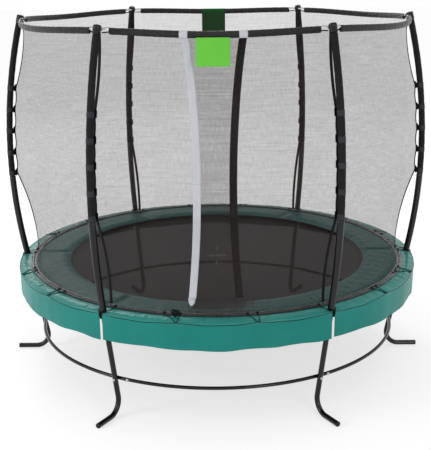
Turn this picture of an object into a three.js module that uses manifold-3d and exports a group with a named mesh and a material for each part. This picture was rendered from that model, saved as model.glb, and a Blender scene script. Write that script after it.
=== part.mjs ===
// Backyard trampoline with a curved-post safety enclosure, in millimetres, +Z up.
// The origin is on the ground under the centre of the jumping mat. Posts stand every 60 degrees,
// the first on +X, and the entrance of the net is in the bay that faces -Y.

import * as THREE from 'three';
import { mergeVertices } from 'three/addons/utils/BufferGeometryUtils.js';
import Module from 'manifold-3d';

const wasm = await Module();
wasm.setup();

// Whole object
const BAY_COUNT = 6;
const SEAT_GAP = 0.3;
const SLIP_CLEARANCE = 0.3;
const TUBE_SIDES = 8;

// Round frame that carries the springs
const FRAME_RADIUS = 1513;
const FRAME_HEIGHT = 775;
const RAIL_DIAMETER = 38;
const RAIL_INSERTION = 42;
const RAIL_STEPS = 6;
const SOCKET_WALL = 2.7;
const SOCKET_ARM = 62;
const SOCKET_UPRIGHT = 95;
const SOCKET_DIVIDER = 3;

// C-shaped legs
const LEG_DIAMETER = 38;
const LEG_LEAN = THREE.MathUtils.degToRad(10.8);
const LEG_BEND_RADIUS = 100;
const LEG_BEND_STEPS = 6;
const FOOT_REACH = 123;
const FOOT_PLUG_DEPTH = 24;
const FOOT_PLUG_DIAMETER = 30;
const FOOT_PLUG_FLANGE = 4;

// Ring that ties the legs together near the ground
const TIE_RING_HEIGHT = 280;
const TIE_RING_DIAMETER = 25;
const TIE_RING_STEPS = 6;
const TIE_JOINT_OFFSET = 62;
const TIE_SPIGOT_DIAMETER = 19;
const TIE_SPIGOT_LENGTH = 45;

// Curved posts, their fabric sleeves and caps
const POST_WALL = 1.7;
const POST_NECK_DIAMETER = 40;
const POST_CURVE_RADIUS = 4000;
const POST_TOP_HEIGHT = 2662;
const POST_LOWER_STEPS = 4;
const POST_UPPER_STEPS = 5;
const SLEEVE_WALL = 4.2;
const SLEEVE_START_HEIGHT = 1450;
const STRAP_HEIGHTS = [1475, 1640, 1810, 1975, 2140];
const STRAP_WIDTH = 38;
const STRAP_THICKNESS = 12;
const NET_STANDOFF = 14;
const CAP_WALL = 7;
const CAP_SKIRT = 34;
const CAP_CROWN = 24;
const CAP_EDGE = 8;
const CAP_EDGE_STEPS = 2;
const CAP_EYE_WIDTH = 34;
const CAP_EYE_WALL = 5;

// Hoop that spreads the top of the net, just inside and below the tops of the posts
const HOOP_INSET = 25;
const HOOP_DROP = 4;
const HOOP_SAG = 16;
const HOOP_ROD_DIAMETER = 12;
const HOOP_SIDES = 6;
const HOOP_STEPS = 6;
const FERRULE_DIAMETER = 16;
const FERRULE_LENGTH = 90;

// Jumping mat, its webbing rim and the springs. The rim's inset is from the frame rail.
const MAT_THICKNESS = 3;
const MAT_SEGMENTS = 60;
const RIM_INSET = 238;
const RIM_WIDTH = 40;
const RIM_THICKNESS = 8;
const SPRINGS_PER_BAY = 10;
const SPRING_DIAMETER = 22;
const SPRING_SIDES = 4;
const SPRING_LAP = 10;

// Safety pad with its hanging skirt. It reaches out past the frame rail and in over the mat.
const PAD_OVERHANG = 40;
const PAD_WIDTH = 396;
const PAD_THICKNESS = 28;
const PAD_EDGE_ROUND = 11;
const PAD_CROWN = 5;
const PAD_CROWN_INSET = 123;
const PAD_SEGMENTS = 60;
const SKIRT_BOTTOM_HEIGHT = 614;
const SKIRT_THICKNESS = 4;
const SKIRT_SLIT = 20;
const SKIRT_FOLDS = 12;
const SKIRT_FOLD_DEPTH = 6;
const POST_HOLE_CLEARANCE = 1;

// Hem band of the net, which lies on the pad inside the frame rail
const HEM_INSET = 75;
const HEM_WIDTH = 46;
const HEM_THICKNESS = 12;

// Safety net
const NET_THICKNESS = 2.4;
const NET_EDGE_ROWS = 3;
const NET_COLUMNS = 6;
const NET_BULGE = 0.25;
const NET_SEAM_GAP = 1;
const NET_HANG = 1.5;
const NET_CORNER_DROP = 8;

// Entrance in the front bay: two overlapping panels with webbing along their free edges.
// The middle of each free edge is a flap that can be drawn away from the other panel.
const STRIP_WIDTH = 50;
const STRIP_THICKNESS = 2;
const STRIP_TOP_OFFSET = 188;
const STRIP_WAIST_OFFSET = 122;
const STRIP_WAIST_HEIGHT = 1700;
const STRIP_BOTTOM_OFFSET = 172;
const LAYER_SPACING = 9;
const FLAP_TOP_HEIGHT = 2430;
const FLAP_BOTTOM_HEIGHT = 1000;
const FLAP_CORNER_OFFSET = 420;
const FLAP_GAP = 0.8;

// Sewn patches that hang from the hoop at the front and the back
const PATCH_WIDTH = 208;
const PATCH_DROP = 200;
const PATCH_THICKNESS = 2;

// Finishes
const FINISH = {
  powderCoat: { color: 0x1b1c1d, roughness: 0.38, metalness: 0.55 },
  springRim: { color: 0x9a9da1, roughness: 0.4, metalness: 0.8 },
  plastic: { color: 0x17181a, roughness: 0.42, metalness: 0 },
  sleeveFabric: { color: 0x222324, roughness: 0.85, metalness: 0 },
  hoopRod: { color: 0xd9dadb, roughness: 0.4, metalness: 0 },
  netMesh: { color: 0x3c3b3a, roughness: 0.9, metalness: 0 },
  hemVinyl: { color: 0x232122, roughness: 0.3, metalness: 0 },
  padVinyl: { color: 0x36857d, roughness: 0.4, metalness: 0 },
  matMesh: { color: 0x34312e, roughness: 0.9, metalness: 0 },
  darkWebbing: { color: 0x2a2a2b, roughness: 0.85, metalness: 0 },
  paleWebbing: { color: 0xcaccd3, roughness: 0.6, metalness: 0 },
  brightPatch: { color: 0x66bb44, roughness: 0.65, metalness: 0 },
  darkPatch: { color: 0x1c5a2c, roughness: 0.65, metalness: 0 },
};

// Sizes that follow from the driving ones
const BAY_ANGLE = (2 * Math.PI) / BAY_COUNT;
const HALF_BAY = BAY_ANGLE / 2;
const FACET_COSINE = Math.cos(Math.PI / TUBE_SIDES);
const boreFor = (diameter) => diameter + (2 * SLIP_CLEARANCE) / FACET_COSINE;
const ARM_DIAMETER = boreFor(RAIL_DIAMETER) + 2 * SOCKET_WALL;
const UPRIGHT_DIAMETER = boreFor(LEG_DIAMETER) + 2 * SOCKET_WALL;
const POST_BORE = UPRIGHT_DIAMETER + 2 * SLIP_CLEARANCE;
const POST_DIAMETER = POST_BORE + 2 * POST_WALL;
const SLEEVE_BORE = POST_NECK_DIAMETER + 2 * SLIP_CLEARANCE;
const SLEEVE_DIAMETER = SLEEVE_BORE + 2 * SLEEVE_WALL;
const CAP_DIAMETER = boreFor(POST_NECK_DIAMETER) + 2 * CAP_WALL;
const FOOT_END_RADIUS = FRAME_RADIUS + FOOT_REACH;
const RIM_INNER_RADIUS = FRAME_RADIUS - RIM_INSET;
const PAD_OUTER_RADIUS = FRAME_RADIUS + PAD_OVERHANG;
const PAD_INNER_RADIUS = PAD_OUTER_RADIUS - PAD_WIDTH;
const PAD_CROWN_RADIUS = PAD_INNER_RADIUS + PAD_CROWN_INSET;
const HEM_RADIUS = FRAME_RADIUS - HEM_INSET;
const HOOP_HEIGHT = POST_TOP_HEIGHT - HOOP_DROP;
const LEG_GROUND_HEIGHT = (LEG_DIAMETER / 2) * FACET_COSINE;
const ARM_TOP = FRAME_HEIGHT + (ARM_DIAMETER / 2) * FACET_COSINE;
const PAD_BOTTOM = ARM_TOP + SEAT_GAP;
const MAT_HEIGHT = PAD_BOTTOM - SEAT_GAP - SPRING_DIAMETER / 2;
const PAD_TOP = PAD_BOTTOM + PAD_THICKNESS;
const HEM_BOTTOM = PAD_TOP + SEAT_GAP;
const NET_BOTTOM = HEM_BOTTOM + HEM_THICKNESS + SEAT_GAP;
const NET_TOP = HOOP_HEIGHT - FERRULE_DIAMETER / 2 - NET_HANG;
const FIRST_STRAP = STRAP_HEIGHTS[0];
const LAST_STRAP = STRAP_HEIGHTS[STRAP_HEIGHTS.length - 1];
const SLEEVE_TOP = POST_TOP_HEIGHT - CAP_SKIRT - 2 * SEAT_GAP;
const FRONT = -Math.PI / 2;

// Directions and points. Most pieces are drawn in the upright plane of the first post.
const UP = new THREE.Vector3(0, 0, 1);
const ACROSS = new THREE.Vector3(0, -1, 0);
const inPlane = (radius, height) => new THREE.Vector3(radius, 0, height);
const heading = (lean) => new THREE.Vector3(Math.sin(lean), 0, Math.cos(lean));
const tangentAt = (angle) => new THREE.Vector3(-Math.sin(angle), Math.cos(angle), 0);
const around = (radius, angle, height) => (
  new THREE.Vector3(radius * Math.cos(angle), radius * Math.sin(angle), height));
const spread = (start, end, steps) => (
  Array.from({ length: steps + 1 }, (_, step) => THREE.MathUtils.lerp(start, end, step / steps)));

// A path of chosen stations that stays in one plane, whose normal is the given side.
class StationPath extends THREE.Curve {
  constructor(points, tangents, side) {
    super();
    this.points = points;
    this.tangents = tangents;
    this.side = side;
  }

  getPoint(t, target = new THREE.Vector3()) {
    return target.copy(this.points[Math.round(t * (this.points.length - 1))]);
  }

  getPointAt(u, target) {
    return this.getPoint(u, target);
  }

  computeFrenetFrames() {
    return {
      tangents: this.tangents,
      normals: this.tangents.map(() => this.side.clone()),
      binormals: this.tangents.map((tangent) => new THREE.Vector3().crossVectors(tangent, this.side)),
    };
  }
}

// A regular polygon with a flat side in each direction that the sweep's frame points in.
function polygonShape(diameter, bore = 0, sides = TUBE_SIDES) {
  const start = Math.PI / sides;
  const turns = spread(start, start + 2 * Math.PI, sides).slice(0, sides);
  const corners = (size) => turns.map((angle) => (
    new THREE.Vector2(Math.cos(angle), Math.sin(angle)).multiplyScalar(size / 2)));
  const shape = new THREE.Shape(corners(diameter));
  if (bore > 0) {
    shape.holes.push(new THREE.Path(corners(bore)));
  }
  return shape;
}

function sweep(path, shape) {
  const steps = path.points.length - 1;
  return new THREE.ExtrudeGeometry(shape, { steps, extrudePath: path, bevelEnabled: false });
}

function straightTube(start, end, shape) {
  const direction = end.clone().sub(start).normalize();
  const side = Math.abs(direction.y) > 0.5 ? UP : ACROSS;
  return sweep(new StationPath([start, end], [direction, direction], side), shape);
}

function arcPath(radius, angles, heightAt) {
  const points = angles.map((angle) => around(radius, angle, heightAt(angle)));
  return new StationPath(points, angles.map(tangentAt), UP);
}

// Revolves a closed outline of radius and height about +Z, its first corner at the given turn.
function revolve(outline, segments, start = 0) {
  const profile = outline.map(([radius, height]) => new THREE.Vector2(radius, height));
  return new THREE.LatheGeometry(profile, segments, start).rotateX(Math.PI / 2);
}

function toSolid(geometry) {
  const bare = geometry.clone();
  bare.deleteAttribute('normal');
  bare.deleteAttribute('uv');
  const merged = mergeVertices(bare, 1e-3);
  return new wasm.Manifold(new wasm.Mesh({
    numProp: 3,
    vertProperties: new Float32Array(merged.attributes.position.array),
    triVerts: new Uint32Array(merged.index.array),
  }));
}

function toGeometry(solid) {
  const mesh = solid.getMesh();
  const geometry = new THREE.BufferGeometry();
  geometry.setAttribute('position', new THREE.BufferAttribute(mesh.vertProperties, 3));
  geometry.setIndex(new THREE.BufferAttribute(mesh.triVerts, 1));
  geometry.computeVertexNormals();
  return geometry;
}

function join(...geometries) {
  return toGeometry(geometries.map(toSolid).reduce((whole, next) => whole.add(next)));
}

function cut(geometry, ...tools) {
  return toGeometry(tools.map(toSolid).reduce((rest, tool) => rest.subtract(tool), toSolid(geometry)));
}

function common(geometry, tool) {
  return toGeometry(toSolid(geometry).intersect(toSolid(tool)));
}

// Centre line of a leg and post: straight through the socket, then curving back in above it.
const SOCKET_CENTRE = inPlane(FRAME_RADIUS, FRAME_HEIGHT);
const alongUpright = (distance) => (
  SOCKET_CENTRE.clone().addScaledVector(heading(LEG_LEAN), distance));
const ARC_START = alongUpright(SOCKET_UPRIGHT);

function postLeanAt(height) {
  const rise = Math.max(0, height - ARC_START.z) / POST_CURVE_RADIUS;
  return Math.asin(Math.sin(LEG_LEAN) - rise);
}

function legRadiusAt(height) {
  return FRAME_RADIUS + (height - FRAME_HEIGHT) * Math.tan(LEG_LEAN);
}

function postRadiusAt(height) {
  const bow = POST_CURVE_RADIUS * (Math.cos(postLeanAt(height)) - Math.cos(LEG_LEAN));
  return legRadiusAt(Math.min(height, ARC_START.z)) + bow;
}

const HOOP_RADIUS = postRadiusAt(HOOP_HEIGHT) - HOOP_INSET;

function postPath(heights) {
  const points = heights.map((height) => inPlane(postRadiusAt(height), height));
  return new StationPath(points, heights.map((height) => heading(postLeanAt(height))), ACROSS);
}

// Moves a geometry that is drawn about +Z onto the post, its origin at the given height.
function seatOnPost(geometry, height) {
  const place = new THREE.Matrix4().makeRotationY(postLeanAt(height));
  place.setPosition(inPlane(postRadiusAt(height), height));
  return geometry.applyMatrix4(place);
}

// Frame: rail segments, each with the cross-shaped socket of one post welded to its first end.
// Its other end plugs into the next socket.
function frameSegment() {
  const level = () => FRAME_HEIGHT;
  const armAngle = SOCKET_ARM / FRAME_RADIUS;
  const tipAngle = (SOCKET_ARM - RAIL_INSERTION) / FRAME_RADIUS;
  const stations = [...spread(armAngle / 2, BAY_ANGLE - armAngle, RAIL_STEPS), BAY_ANGLE - tipAngle];
  const body = join(
    sweep(arcPath(FRAME_RADIUS, [-armAngle, 0, armAngle], level), polygonShape(ARM_DIAMETER)),
    straightTube(alongUpright(-SOCKET_UPRIGHT), ARC_START, polygonShape(UPRIGHT_DIAMETER)),
    sweep(arcPath(FRAME_RADIUS, stations, level), polygonShape(RAIL_DIAMETER)),
  );
  const divider = ARM_DIAMETER / 2 + SOCKET_DIVIDER;
  const past = SOCKET_UPRIGHT + SOCKET_WALL;
  const legBore = polygonShape(boreFor(LEG_DIAMETER));
  const boreAngles = [-armAngle - SOCKET_WALL / FRAME_RADIUS, -tipAngle + 2 * SEAT_GAP / FRAME_RADIUS];
  return cut(
    body,
    straightTube(alongUpright(-past), alongUpright(-divider), legBore),
    straightTube(alongUpright(divider), alongUpright(past), legBore),
    sweep(arcPath(FRAME_RADIUS, boreAngles, level), polygonShape(boreFor(RAIL_DIAMETER))),
  );
}

// Legs: straight down from the socket, then a bend out to a foot that lies on the ground.
function legPath() {
  const bendCentreHeight = LEG_GROUND_HEIGHT + LEG_BEND_RADIUS;
  const bendStartHeight = bendCentreHeight + LEG_BEND_RADIUS * Math.sin(LEG_LEAN);
  const bendCentreRadius = legRadiusAt(bendStartHeight) + LEG_BEND_RADIUS * Math.cos(LEG_LEAN);
  const top = alongUpright(-ARM_DIAMETER / 2 - SOCKET_DIVIDER - SEAT_GAP);
  const points = [top];
  const tangents = [heading(LEG_LEAN).negate()];
  for (const turn of spread(-LEG_LEAN, Math.PI / 2, LEG_BEND_STEPS)) {
    points.push(inPlane(
      bendCentreRadius - LEG_BEND_RADIUS * Math.cos(turn),
      bendCentreHeight - LEG_BEND_RADIUS * Math.sin(turn),
    ));
    tangents.push(new THREE.Vector3(Math.sin(turn), 0, -Math.cos(turn)));
  }
  points.push(inPlane(FOOT_END_RADIUS - FOOT_PLUG_FLANGE, LEG_GROUND_HEIGHT));
  tangents.push(new THREE.Vector3(1, 0, 0));
  return new StationPath(points, tangents, ACROSS);
}

const onFoot = (radius) => inPlane(radius, LEG_GROUND_HEIGHT);

function leg() {
  const footEnd = FOOT_END_RADIUS - FOOT_PLUG_FLANGE;
  const plugBore = straightTube(
    onFoot(footEnd - FOOT_PLUG_DEPTH),
    onFoot(footEnd + FOOT_PLUG_FLANGE),
    polygonShape(boreFor(FOOT_PLUG_DIAMETER)),
  );
  return cut(sweep(legPath(), polygonShape(LEG_DIAMETER)), plugBore);
}

function footPlug() {
  const flangeStart = FOOT_END_RADIUS - FOOT_PLUG_FLANGE + SEAT_GAP;
  const stemStart = FOOT_END_RADIUS - FOOT_PLUG_FLANGE - FOOT_PLUG_DEPTH + SEAT_GAP;
  return join(
    straightTube(onFoot(flangeStart), onFoot(FOOT_END_RADIUS), polygonShape(LEG_DIAMETER)),
    straightTube(onFoot(stemStart), onFoot(flangeStart + SEAT_GAP), polygonShape(FOOT_PLUG_DIAMETER)),
  );
}

// Ground ring: segments that pass just inside the legs, each plugged into the next beside a leg.
function tieRingSegment() {
  const legToRing = (LEG_DIAMETER / 2) * FACET_COSINE + SEAT_GAP + TIE_RING_DIAMETER / 2;
  const radius = legRadiusAt(TIE_RING_HEIGHT) - legToRing / Math.cos(LEG_LEAN);
  const level = () => TIE_RING_HEIGHT;
  const start = TIE_JOINT_OFFSET / radius;
  const end = start + BAY_ANGLE - SEAT_GAP / radius;
  const spigotEnd = end + TIE_SPIGOT_LENGTH / radius;
  const spigotRoot = end - SEAT_GAP / radius;
  const boreAngles = [start - SEAT_GAP / radius, start + (TIE_SPIGOT_LENGTH + SEAT_GAP) / radius];
  const stations = [start, ...spread(boreAngles[1], BAY_ANGLE, TIE_RING_STEPS), end];
  return cut(
    join(
      sweep(arcPath(radius, stations, level), polygonShape(TIE_RING_DIAMETER)),
      sweep(arcPath(radius, [spigotRoot, spigotEnd], level), polygonShape(TIE_SPIGOT_DIAMETER)),
    ),
    sweep(arcPath(radius, boreAngles, level), polygonShape(boreFor(TIE_SPIGOT_DIAMETER))),
  );
}

// Posts: a wide lower tube whose bore slides over the socket, necked down inside the sleeve.
// Above the socket the tube is drawn filled.
const SLEEVE_HEIGHTS = spread(SLEEVE_START_HEIGHT, SLEEVE_TOP, POST_UPPER_STEPS);

function post() {
  const bottom = ARM_TOP + (POST_DIAMETER / 2) * Math.sin(LEG_LEAN) + SEAT_GAP;
  const lowerTop = SLEEVE_START_HEIGHT - SEAT_GAP;
  const lowerHeights = [bottom, ...spread(ARC_START.z, lowerTop, POST_LOWER_STEPS)];
  const neckHeights = [lowerTop - POST_WALL, ...SLEEVE_HEIGHTS, POST_TOP_HEIGHT];
  const socketBore = straightTube(
    alongUpright(0),
    alongUpright(SOCKET_UPRIGHT + SEAT_GAP),
    polygonShape(POST_BORE),
  );
  const tube = join(
    sweep(postPath(lowerHeights), polygonShape(POST_DIAMETER)),
    sweep(postPath(neckHeights), polygonShape(POST_NECK_DIAMETER)),
  );
  return cut(tube, socketBore);
}

function postSleeve() {
  const tabOuter = -(SLEEVE_DIAMETER / 2) * FACET_COSINE + SLEEVE_WALL / 2;
  const tabInner = -SLEEVE_DIAMETER / 2 - NET_STANDOFF + NET_THICKNESS / 2 + SEAT_GAP;
  const tabs = STRAP_HEIGHTS.map((height) => {
    const tab = new THREE.BoxGeometry(tabOuter - tabInner, STRAP_THICKNESS, STRAP_WIDTH);
    return seatOnPost(tab.translate((tabOuter + tabInner) / 2, 0, 0), height);
  });
  return join(sweep(postPath(SLEEVE_HEIGHTS), polygonShape(SLEEVE_DIAMETER, SLEEVE_BORE)), ...tabs);
}

// Cap: a domed cup over the post with an eye on its inner side that the hoop passes through.
function postCap() {
  const outer = CAP_DIAMETER / 2;
  const bore = boreFor(POST_NECK_DIAMETER) / 2;
  const dome = spread(0, Math.PI / 2, CAP_EDGE_STEPS).map((turn) => [
    outer - CAP_EDGE + CAP_EDGE * Math.cos(turn),
    CAP_CROWN - CAP_EDGE + CAP_EDGE * Math.sin(turn),
  ]);
  const outline = [
    [0, SEAT_GAP],
    [bore, SEAT_GAP],
    [bore, -CAP_SKIRT],
    [outer, -CAP_SKIRT],
    ...dome,
    [0, CAP_CROWN],
  ];
  const cup = seatOnPost(revolve(outline, TUBE_SIDES, Math.PI / TUBE_SIDES), POST_TOP_HEIGHT);
  const eyeBore = boreFor(HOOP_ROD_DIAMETER);
  const eyeInner = HOOP_RADIUS - eyeBore / 2 - CAP_EYE_WALL;
  const eyeOuter = postRadiusAt(HOOP_HEIGHT) - outer + CAP_WALL / 2;
  const eye = new THREE.BoxGeometry(eyeOuter - eyeInner, CAP_EYE_WIDTH, eyeBore + 2 * CAP_EYE_WALL);
  eye.translate((eyeOuter + eyeInner) / 2, 0, HOOP_HEIGHT);
  const passage = sweep(hoopPath(-1, 1), polygonShape(eyeBore, 0, HOOP_SIDES));
  return cut(join(cup, eye), passage);
}

// Hoop: bowed rods, joined by a ferrule one step past each post, that droop between the caps.
const HOOP_STEP = BAY_ANGLE / HOOP_STEPS;

function hoopHeightAt(angle) {
  return HOOP_HEIGHT - (HOOP_SAG / 2) * (1 - Math.cos(BAY_COUNT * angle));
}

function hoopPath(first, last) {
  const steps = spread(first, last, last - first);
  return arcPath(HOOP_RADIUS, steps.map((step) => step * HOOP_STEP), hoopHeightAt);
}

function ferrule() {
  const share = FERRULE_LENGTH / 2 / (HOOP_RADIUS * HOOP_STEP);
  const { points: [before, joint, after], tangents } = hoopPath(0, 2);
  const points = [joint.clone().lerp(before, share), joint, joint.clone().lerp(after, share)];
  return sweep(new StationPath(points, tangents, UP), polygonShape(FERRULE_DIAMETER, 0, HOOP_SIDES));
}

function hoop() {
  const rod = sweep(hoopPath(0, HOOP_STEPS), polygonShape(HOOP_ROD_DIAMETER, 0, HOOP_SIDES));
  const bays = Array.from({ length: BAY_COUNT }, (_, bay) => bay * BAY_ANGLE);
  return join(...bays.flatMap((turn) => [rod.clone().rotateZ(turn), ferrule().rotateZ(turn)]));
}

// Mat, and the webbing rim with its springs, which reach to the inner side of the frame rail.
function mat() {
  const radius = RIM_INNER_RADIUS - SEAT_GAP;
  const disc = new THREE.CylinderGeometry(radius, radius, MAT_THICKNESS, MAT_SEGMENTS);
  return disc.rotateX(Math.PI / 2).translate(0, 0, MAT_HEIGHT);
}

function springRim() {
  const bottom = MAT_HEIGHT - RIM_THICKNESS / 2;
  const top = MAT_HEIGHT + RIM_THICKNESS / 2;
  const outer = RIM_INNER_RADIUS + RIM_WIDTH;
  const rim = revolve([
    [RIM_INNER_RADIUS, bottom],
    [outer, bottom],
    [outer, top],
    [RIM_INNER_RADIUS, top],
    [RIM_INNER_RADIUS, bottom],
  ], MAT_SEGMENTS);
  const chordDepth = FRAME_RADIUS * (1 - Math.cos(HALF_BAY / RAIL_STEPS));
  const railFace = FRAME_RADIUS - chordDepth - (RAIL_DIAMETER / 2) * FACET_COSINE - SEAT_GAP;
  const spring = straightTube(
    inPlane(outer - SPRING_LAP, MAT_HEIGHT),
    inPlane(railFace, MAT_HEIGHT),
    polygonShape(SPRING_DIAMETER / Math.cos(Math.PI / SPRING_SIDES), 0, SPRING_SIDES),
  );
  const pitch = BAY_ANGLE / SPRINGS_PER_BAY;
  const springs = Array.from({ length: BAY_COUNT * SPRINGS_PER_BAY }, (_, index) => (
    spring.clone().rotateZ((index + 0.5) * pitch)));
  return join(rim, ...springs);
}

// Draws the hem of the skirt in and out in shallow folds, none of them at a post.
function foldSkirt(geometry) {
  const place = geometry.attributes.position;
  for (let index = 0; index < place.count; index += 1) {
    const [x, y, z] = [place.getX(index), place.getY(index), place.getZ(index)];
    const fold = (1 - Math.cos(SKIRT_FOLDS * Math.atan2(y, x))) / 2;
    const depth = z < PAD_BOTTOM - SKIRT_THICKNESS ? SKIRT_FOLD_DEPTH * fold : 0;
    const scale = 1 - depth / Math.hypot(x, y);
    place.setXY(index, x * scale, y * scale);
  }
  return geometry;
}

// Safety pad: a crowned ring over springs and rail, with a hole and a slit at each post, and its
// skirt, which hangs outside the rail.
function safetyPad() {
  const edge = PAD_EDGE_ROUND;
  const skirtInner = PAD_OUTER_RADIUS - SKIRT_THICKNESS;
  const ring = foldSkirt(revolve([
    [PAD_INNER_RADIUS + edge, PAD_BOTTOM],
    [skirtInner, PAD_BOTTOM],
    [skirtInner, SKIRT_BOTTOM_HEIGHT],
    [PAD_OUTER_RADIUS, SKIRT_BOTTOM_HEIGHT],
    [PAD_OUTER_RADIUS, PAD_TOP - edge],
    [PAD_OUTER_RADIUS - edge / 3, PAD_TOP - edge / 3],
    [PAD_OUTER_RADIUS - edge, PAD_TOP],
    [HEM_RADIUS - HEM_WIDTH, PAD_TOP],
    [PAD_CROWN_RADIUS, PAD_TOP + PAD_CROWN],
    [PAD_INNER_RADIUS + edge, PAD_TOP],
    [PAD_INNER_RADIUS, PAD_BOTTOM + PAD_THICKNESS / 2],
    [PAD_INNER_RADIUS + edge, PAD_BOTTOM],
  ], PAD_SEGMENTS));
  const low = PAD_BOTTOM - edge;
  const high = PAD_TOP + edge;
  const hole = straightTube(
    inPlane(postRadiusAt(low), low),
    inPlane(postRadiusAt(high), high),
    polygonShape((POST_DIAMETER + 2 * POST_HOLE_CLEARANCE) / FACET_COSINE),
  );
  const slitStart = postRadiusAt(PAD_TOP);
  const slitEnd = PAD_OUTER_RADIUS + edge;
  const slitFloor = SKIRT_BOTTOM_HEIGHT - edge;
  const slit = new THREE.BoxGeometry(slitEnd - slitStart, SKIRT_SLIT, high - slitFloor);
  slit.translate((slitStart + slitEnd) / 2, 0, (high + slitFloor) / 2);
  const opening = join(hole, slit);
  const openings = Array.from({ length: BAY_COUNT }, (_, bay) => opening.clone().rotateZ(bay * BAY_ANGLE));
  return cut(ring, ...openings);
}

function netHem() {
  const inner = HEM_RADIUS - HEM_WIDTH / 2;
  const outer = HEM_RADIUS + HEM_WIDTH / 2;
  const top = HEM_BOTTOM + HEM_THICKNESS;
  return revolve([
    [inner, HEM_BOTTOM],
    [outer, HEM_BOTTOM],
    [outer, HEM_BOTTOM + HEM_THICKNESS / 2],
    [HEM_RADIUS + HEM_WIDTH / 4, top],
    [inner, top],
    [inner, HEM_BOTTOM],
  ], PAD_SEGMENTS);
}

// Net: tied close to the posts between the straps, drawn in to the hoop above and the hem below.
function seamRadiusAt(height) {
  const tied = postRadiusAt(THREE.MathUtils.clamp(height, FIRST_STRAP, LAST_STRAP));
  const tiedRadius = tied - SLEEVE_DIAMETER / 2 - NET_STANDOFF;
  if (height > LAST_STRAP) {
    const share = (NET_TOP - height) / (NET_TOP - LAST_STRAP);
    return THREE.MathUtils.lerp(HOOP_RADIUS, tiedRadius, share * share);
  }
  if (height < FIRST_STRAP) {
    const share = (height - NET_BOTTOM) / (FIRST_STRAP - NET_BOTTOM);
    return THREE.MathUtils.lerp(HEM_RADIUS - HEM_WIDTH / 4, tiedRadius, share * share);
  }
  return tiedRadius;
}

// Between two posts the net is nearly a chord at the straps, and round at the hoop and the hem.
function netRadiusAt(angle, height) {
  const level = 2 * ((height - NET_BOTTOM) / (NET_TOP - NET_BOTTOM)) - 1;
  const roundness = NET_BULGE + (1 - NET_BULGE) * level ** 4;
  const chord = Math.cos(HALF_BAY) / Math.cos(angle);
  return seamRadiusAt(height) * THREE.MathUtils.lerp(chord, 1, roundness);
}

const POST_SIDE_ANGLE = HALF_BAY - NET_SEAM_GAP / HOOP_RADIUS;

// Rows of the net: evenly up to the first strap, one at each strap, evenly on to the hoop.
const NET_HEIGHTS = [
  ...spread(NET_BOTTOM, FIRST_STRAP, NET_EDGE_ROWS).slice(0, -1),
  ...STRAP_HEIGHTS,
  ...spread(LAST_STRAP, NET_TOP, NET_EDGE_ROWS).slice(1),
];

// A point of the net in the front bay, on a row. The top row follows the hoop's droop and drops
// at its corners, below the eyes of the caps.
function netPoint(angle, row) {
  const level = (NET_HEIGHTS[row] - NET_BOTTOM) / (NET_TOP - NET_BOTTOM);
  const corner = NET_CORNER_DROP * (Math.abs(angle) / POST_SIDE_ANGLE) ** 8;
  const droop = HOOP_HEIGHT - hoopHeightAt(FRONT + angle) + corner;
  const height = NET_HEIGHTS[row] - droop * level ** 4;
  return around(netRadiusAt(angle, height), FRONT + angle, height);
}

// A closed cloth: two skins over a grid of points, apart by the given offset, and its border walls.
function cloth(columns, pointAt, offset) {
  const rows = NET_HEIGHTS.length - 1;
  const positions = [];
  const index = [];
  for (const side of [-0.5, 0.5]) {
    for (let row = 0; row <= rows; row += 1) {
      for (let column = 0; column <= columns; column += 1) {
        const point = pointAt(column, row);
        positions.push(...point.addScaledVector(offset(point), side).toArray());
      }
    }
  }
  const at = (skin, column, row) => (skin * (rows + 1) + row) * (columns + 1) + column;
  const quad = (a, b, c, d) => index.push(a, b, c, a, c, d);
  for (let row = 0; row < rows; row += 1) {
    for (let column = 0; column < columns; column += 1) {
      const [right, above] = [column + 1, row + 1];
      quad(at(1, column, row), at(1, right, row), at(1, right, above), at(1, column, above));
      quad(at(0, column, row), at(0, column, above), at(0, right, above), at(0, right, row));
    }
    quad(at(0, 0, row), at(1, 0, row), at(1, 0, row + 1), at(0, 0, row + 1));
    quad(at(0, columns, row), at(0, columns, row + 1), at(1, columns, row + 1), at(1, columns, row));
  }
  for (let column = 0; column < columns; column += 1) {
    quad(at(0, column, 0), at(0, column + 1, 0), at(1, column + 1, 0), at(1, column, 0));
    quad(at(0, column, rows), at(1, column, rows), at(1, column + 1, rows), at(0, column + 1, rows));
  }
  const geometry = new THREE.BufferGeometry();
  geometry.setAttribute('position', new THREE.Float32BufferAttribute(positions, 3));
  geometry.setIndex(index);
  geometry.computeVertexNormals();
  return geometry;
}

function netPanel() {
  const angles = spread(-POST_SIDE_ANGLE, POST_SIDE_ANGLE, NET_COLUMNS);
  const outward = (point) => new THREE.Vector3(point.x, point.y, 0).setLength(NET_THICKNESS);
  return cloth(NET_COLUMNS, (column, row) => netPoint(angles[column], row), outward);
}

// Distance from the middle of the bay to the middle of a free edge's webbing, least at the waist.
function stripOffsetAt(height) {
  const above = height > STRIP_WAIST_HEIGHT;
  const span = above ? NET_TOP - STRIP_WAIST_HEIGHT : NET_BOTTOM - STRIP_WAIST_HEIGHT;
  const share = (height - STRIP_WAIST_HEIGHT) / span;
  const end = above ? STRIP_TOP_OFFSET : STRIP_BOTTOM_OFFSET;
  return THREE.MathUtils.lerp(STRIP_WAIST_OFFSET, end, share * share);
}

// The angles of an entrance panel's columns on a row: its free edge, the webbing's inner edge, and
// on to the post.
function entranceAngles(row) {
  const height = NET_HEIGHTS[row];
  const middle = netRadiusAt(0, height);
  const freeEdge = -Math.atan2(stripOffsetAt(height) + STRIP_WIDTH / 2, middle);
  const stripEdge = -Math.atan2(stripOffsetAt(height) - STRIP_WIDTH / 2, middle);
  return [freeEdge, ...spread(stripEdge, POST_SIDE_ANGLE, NET_COLUMNS)];
}

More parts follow.
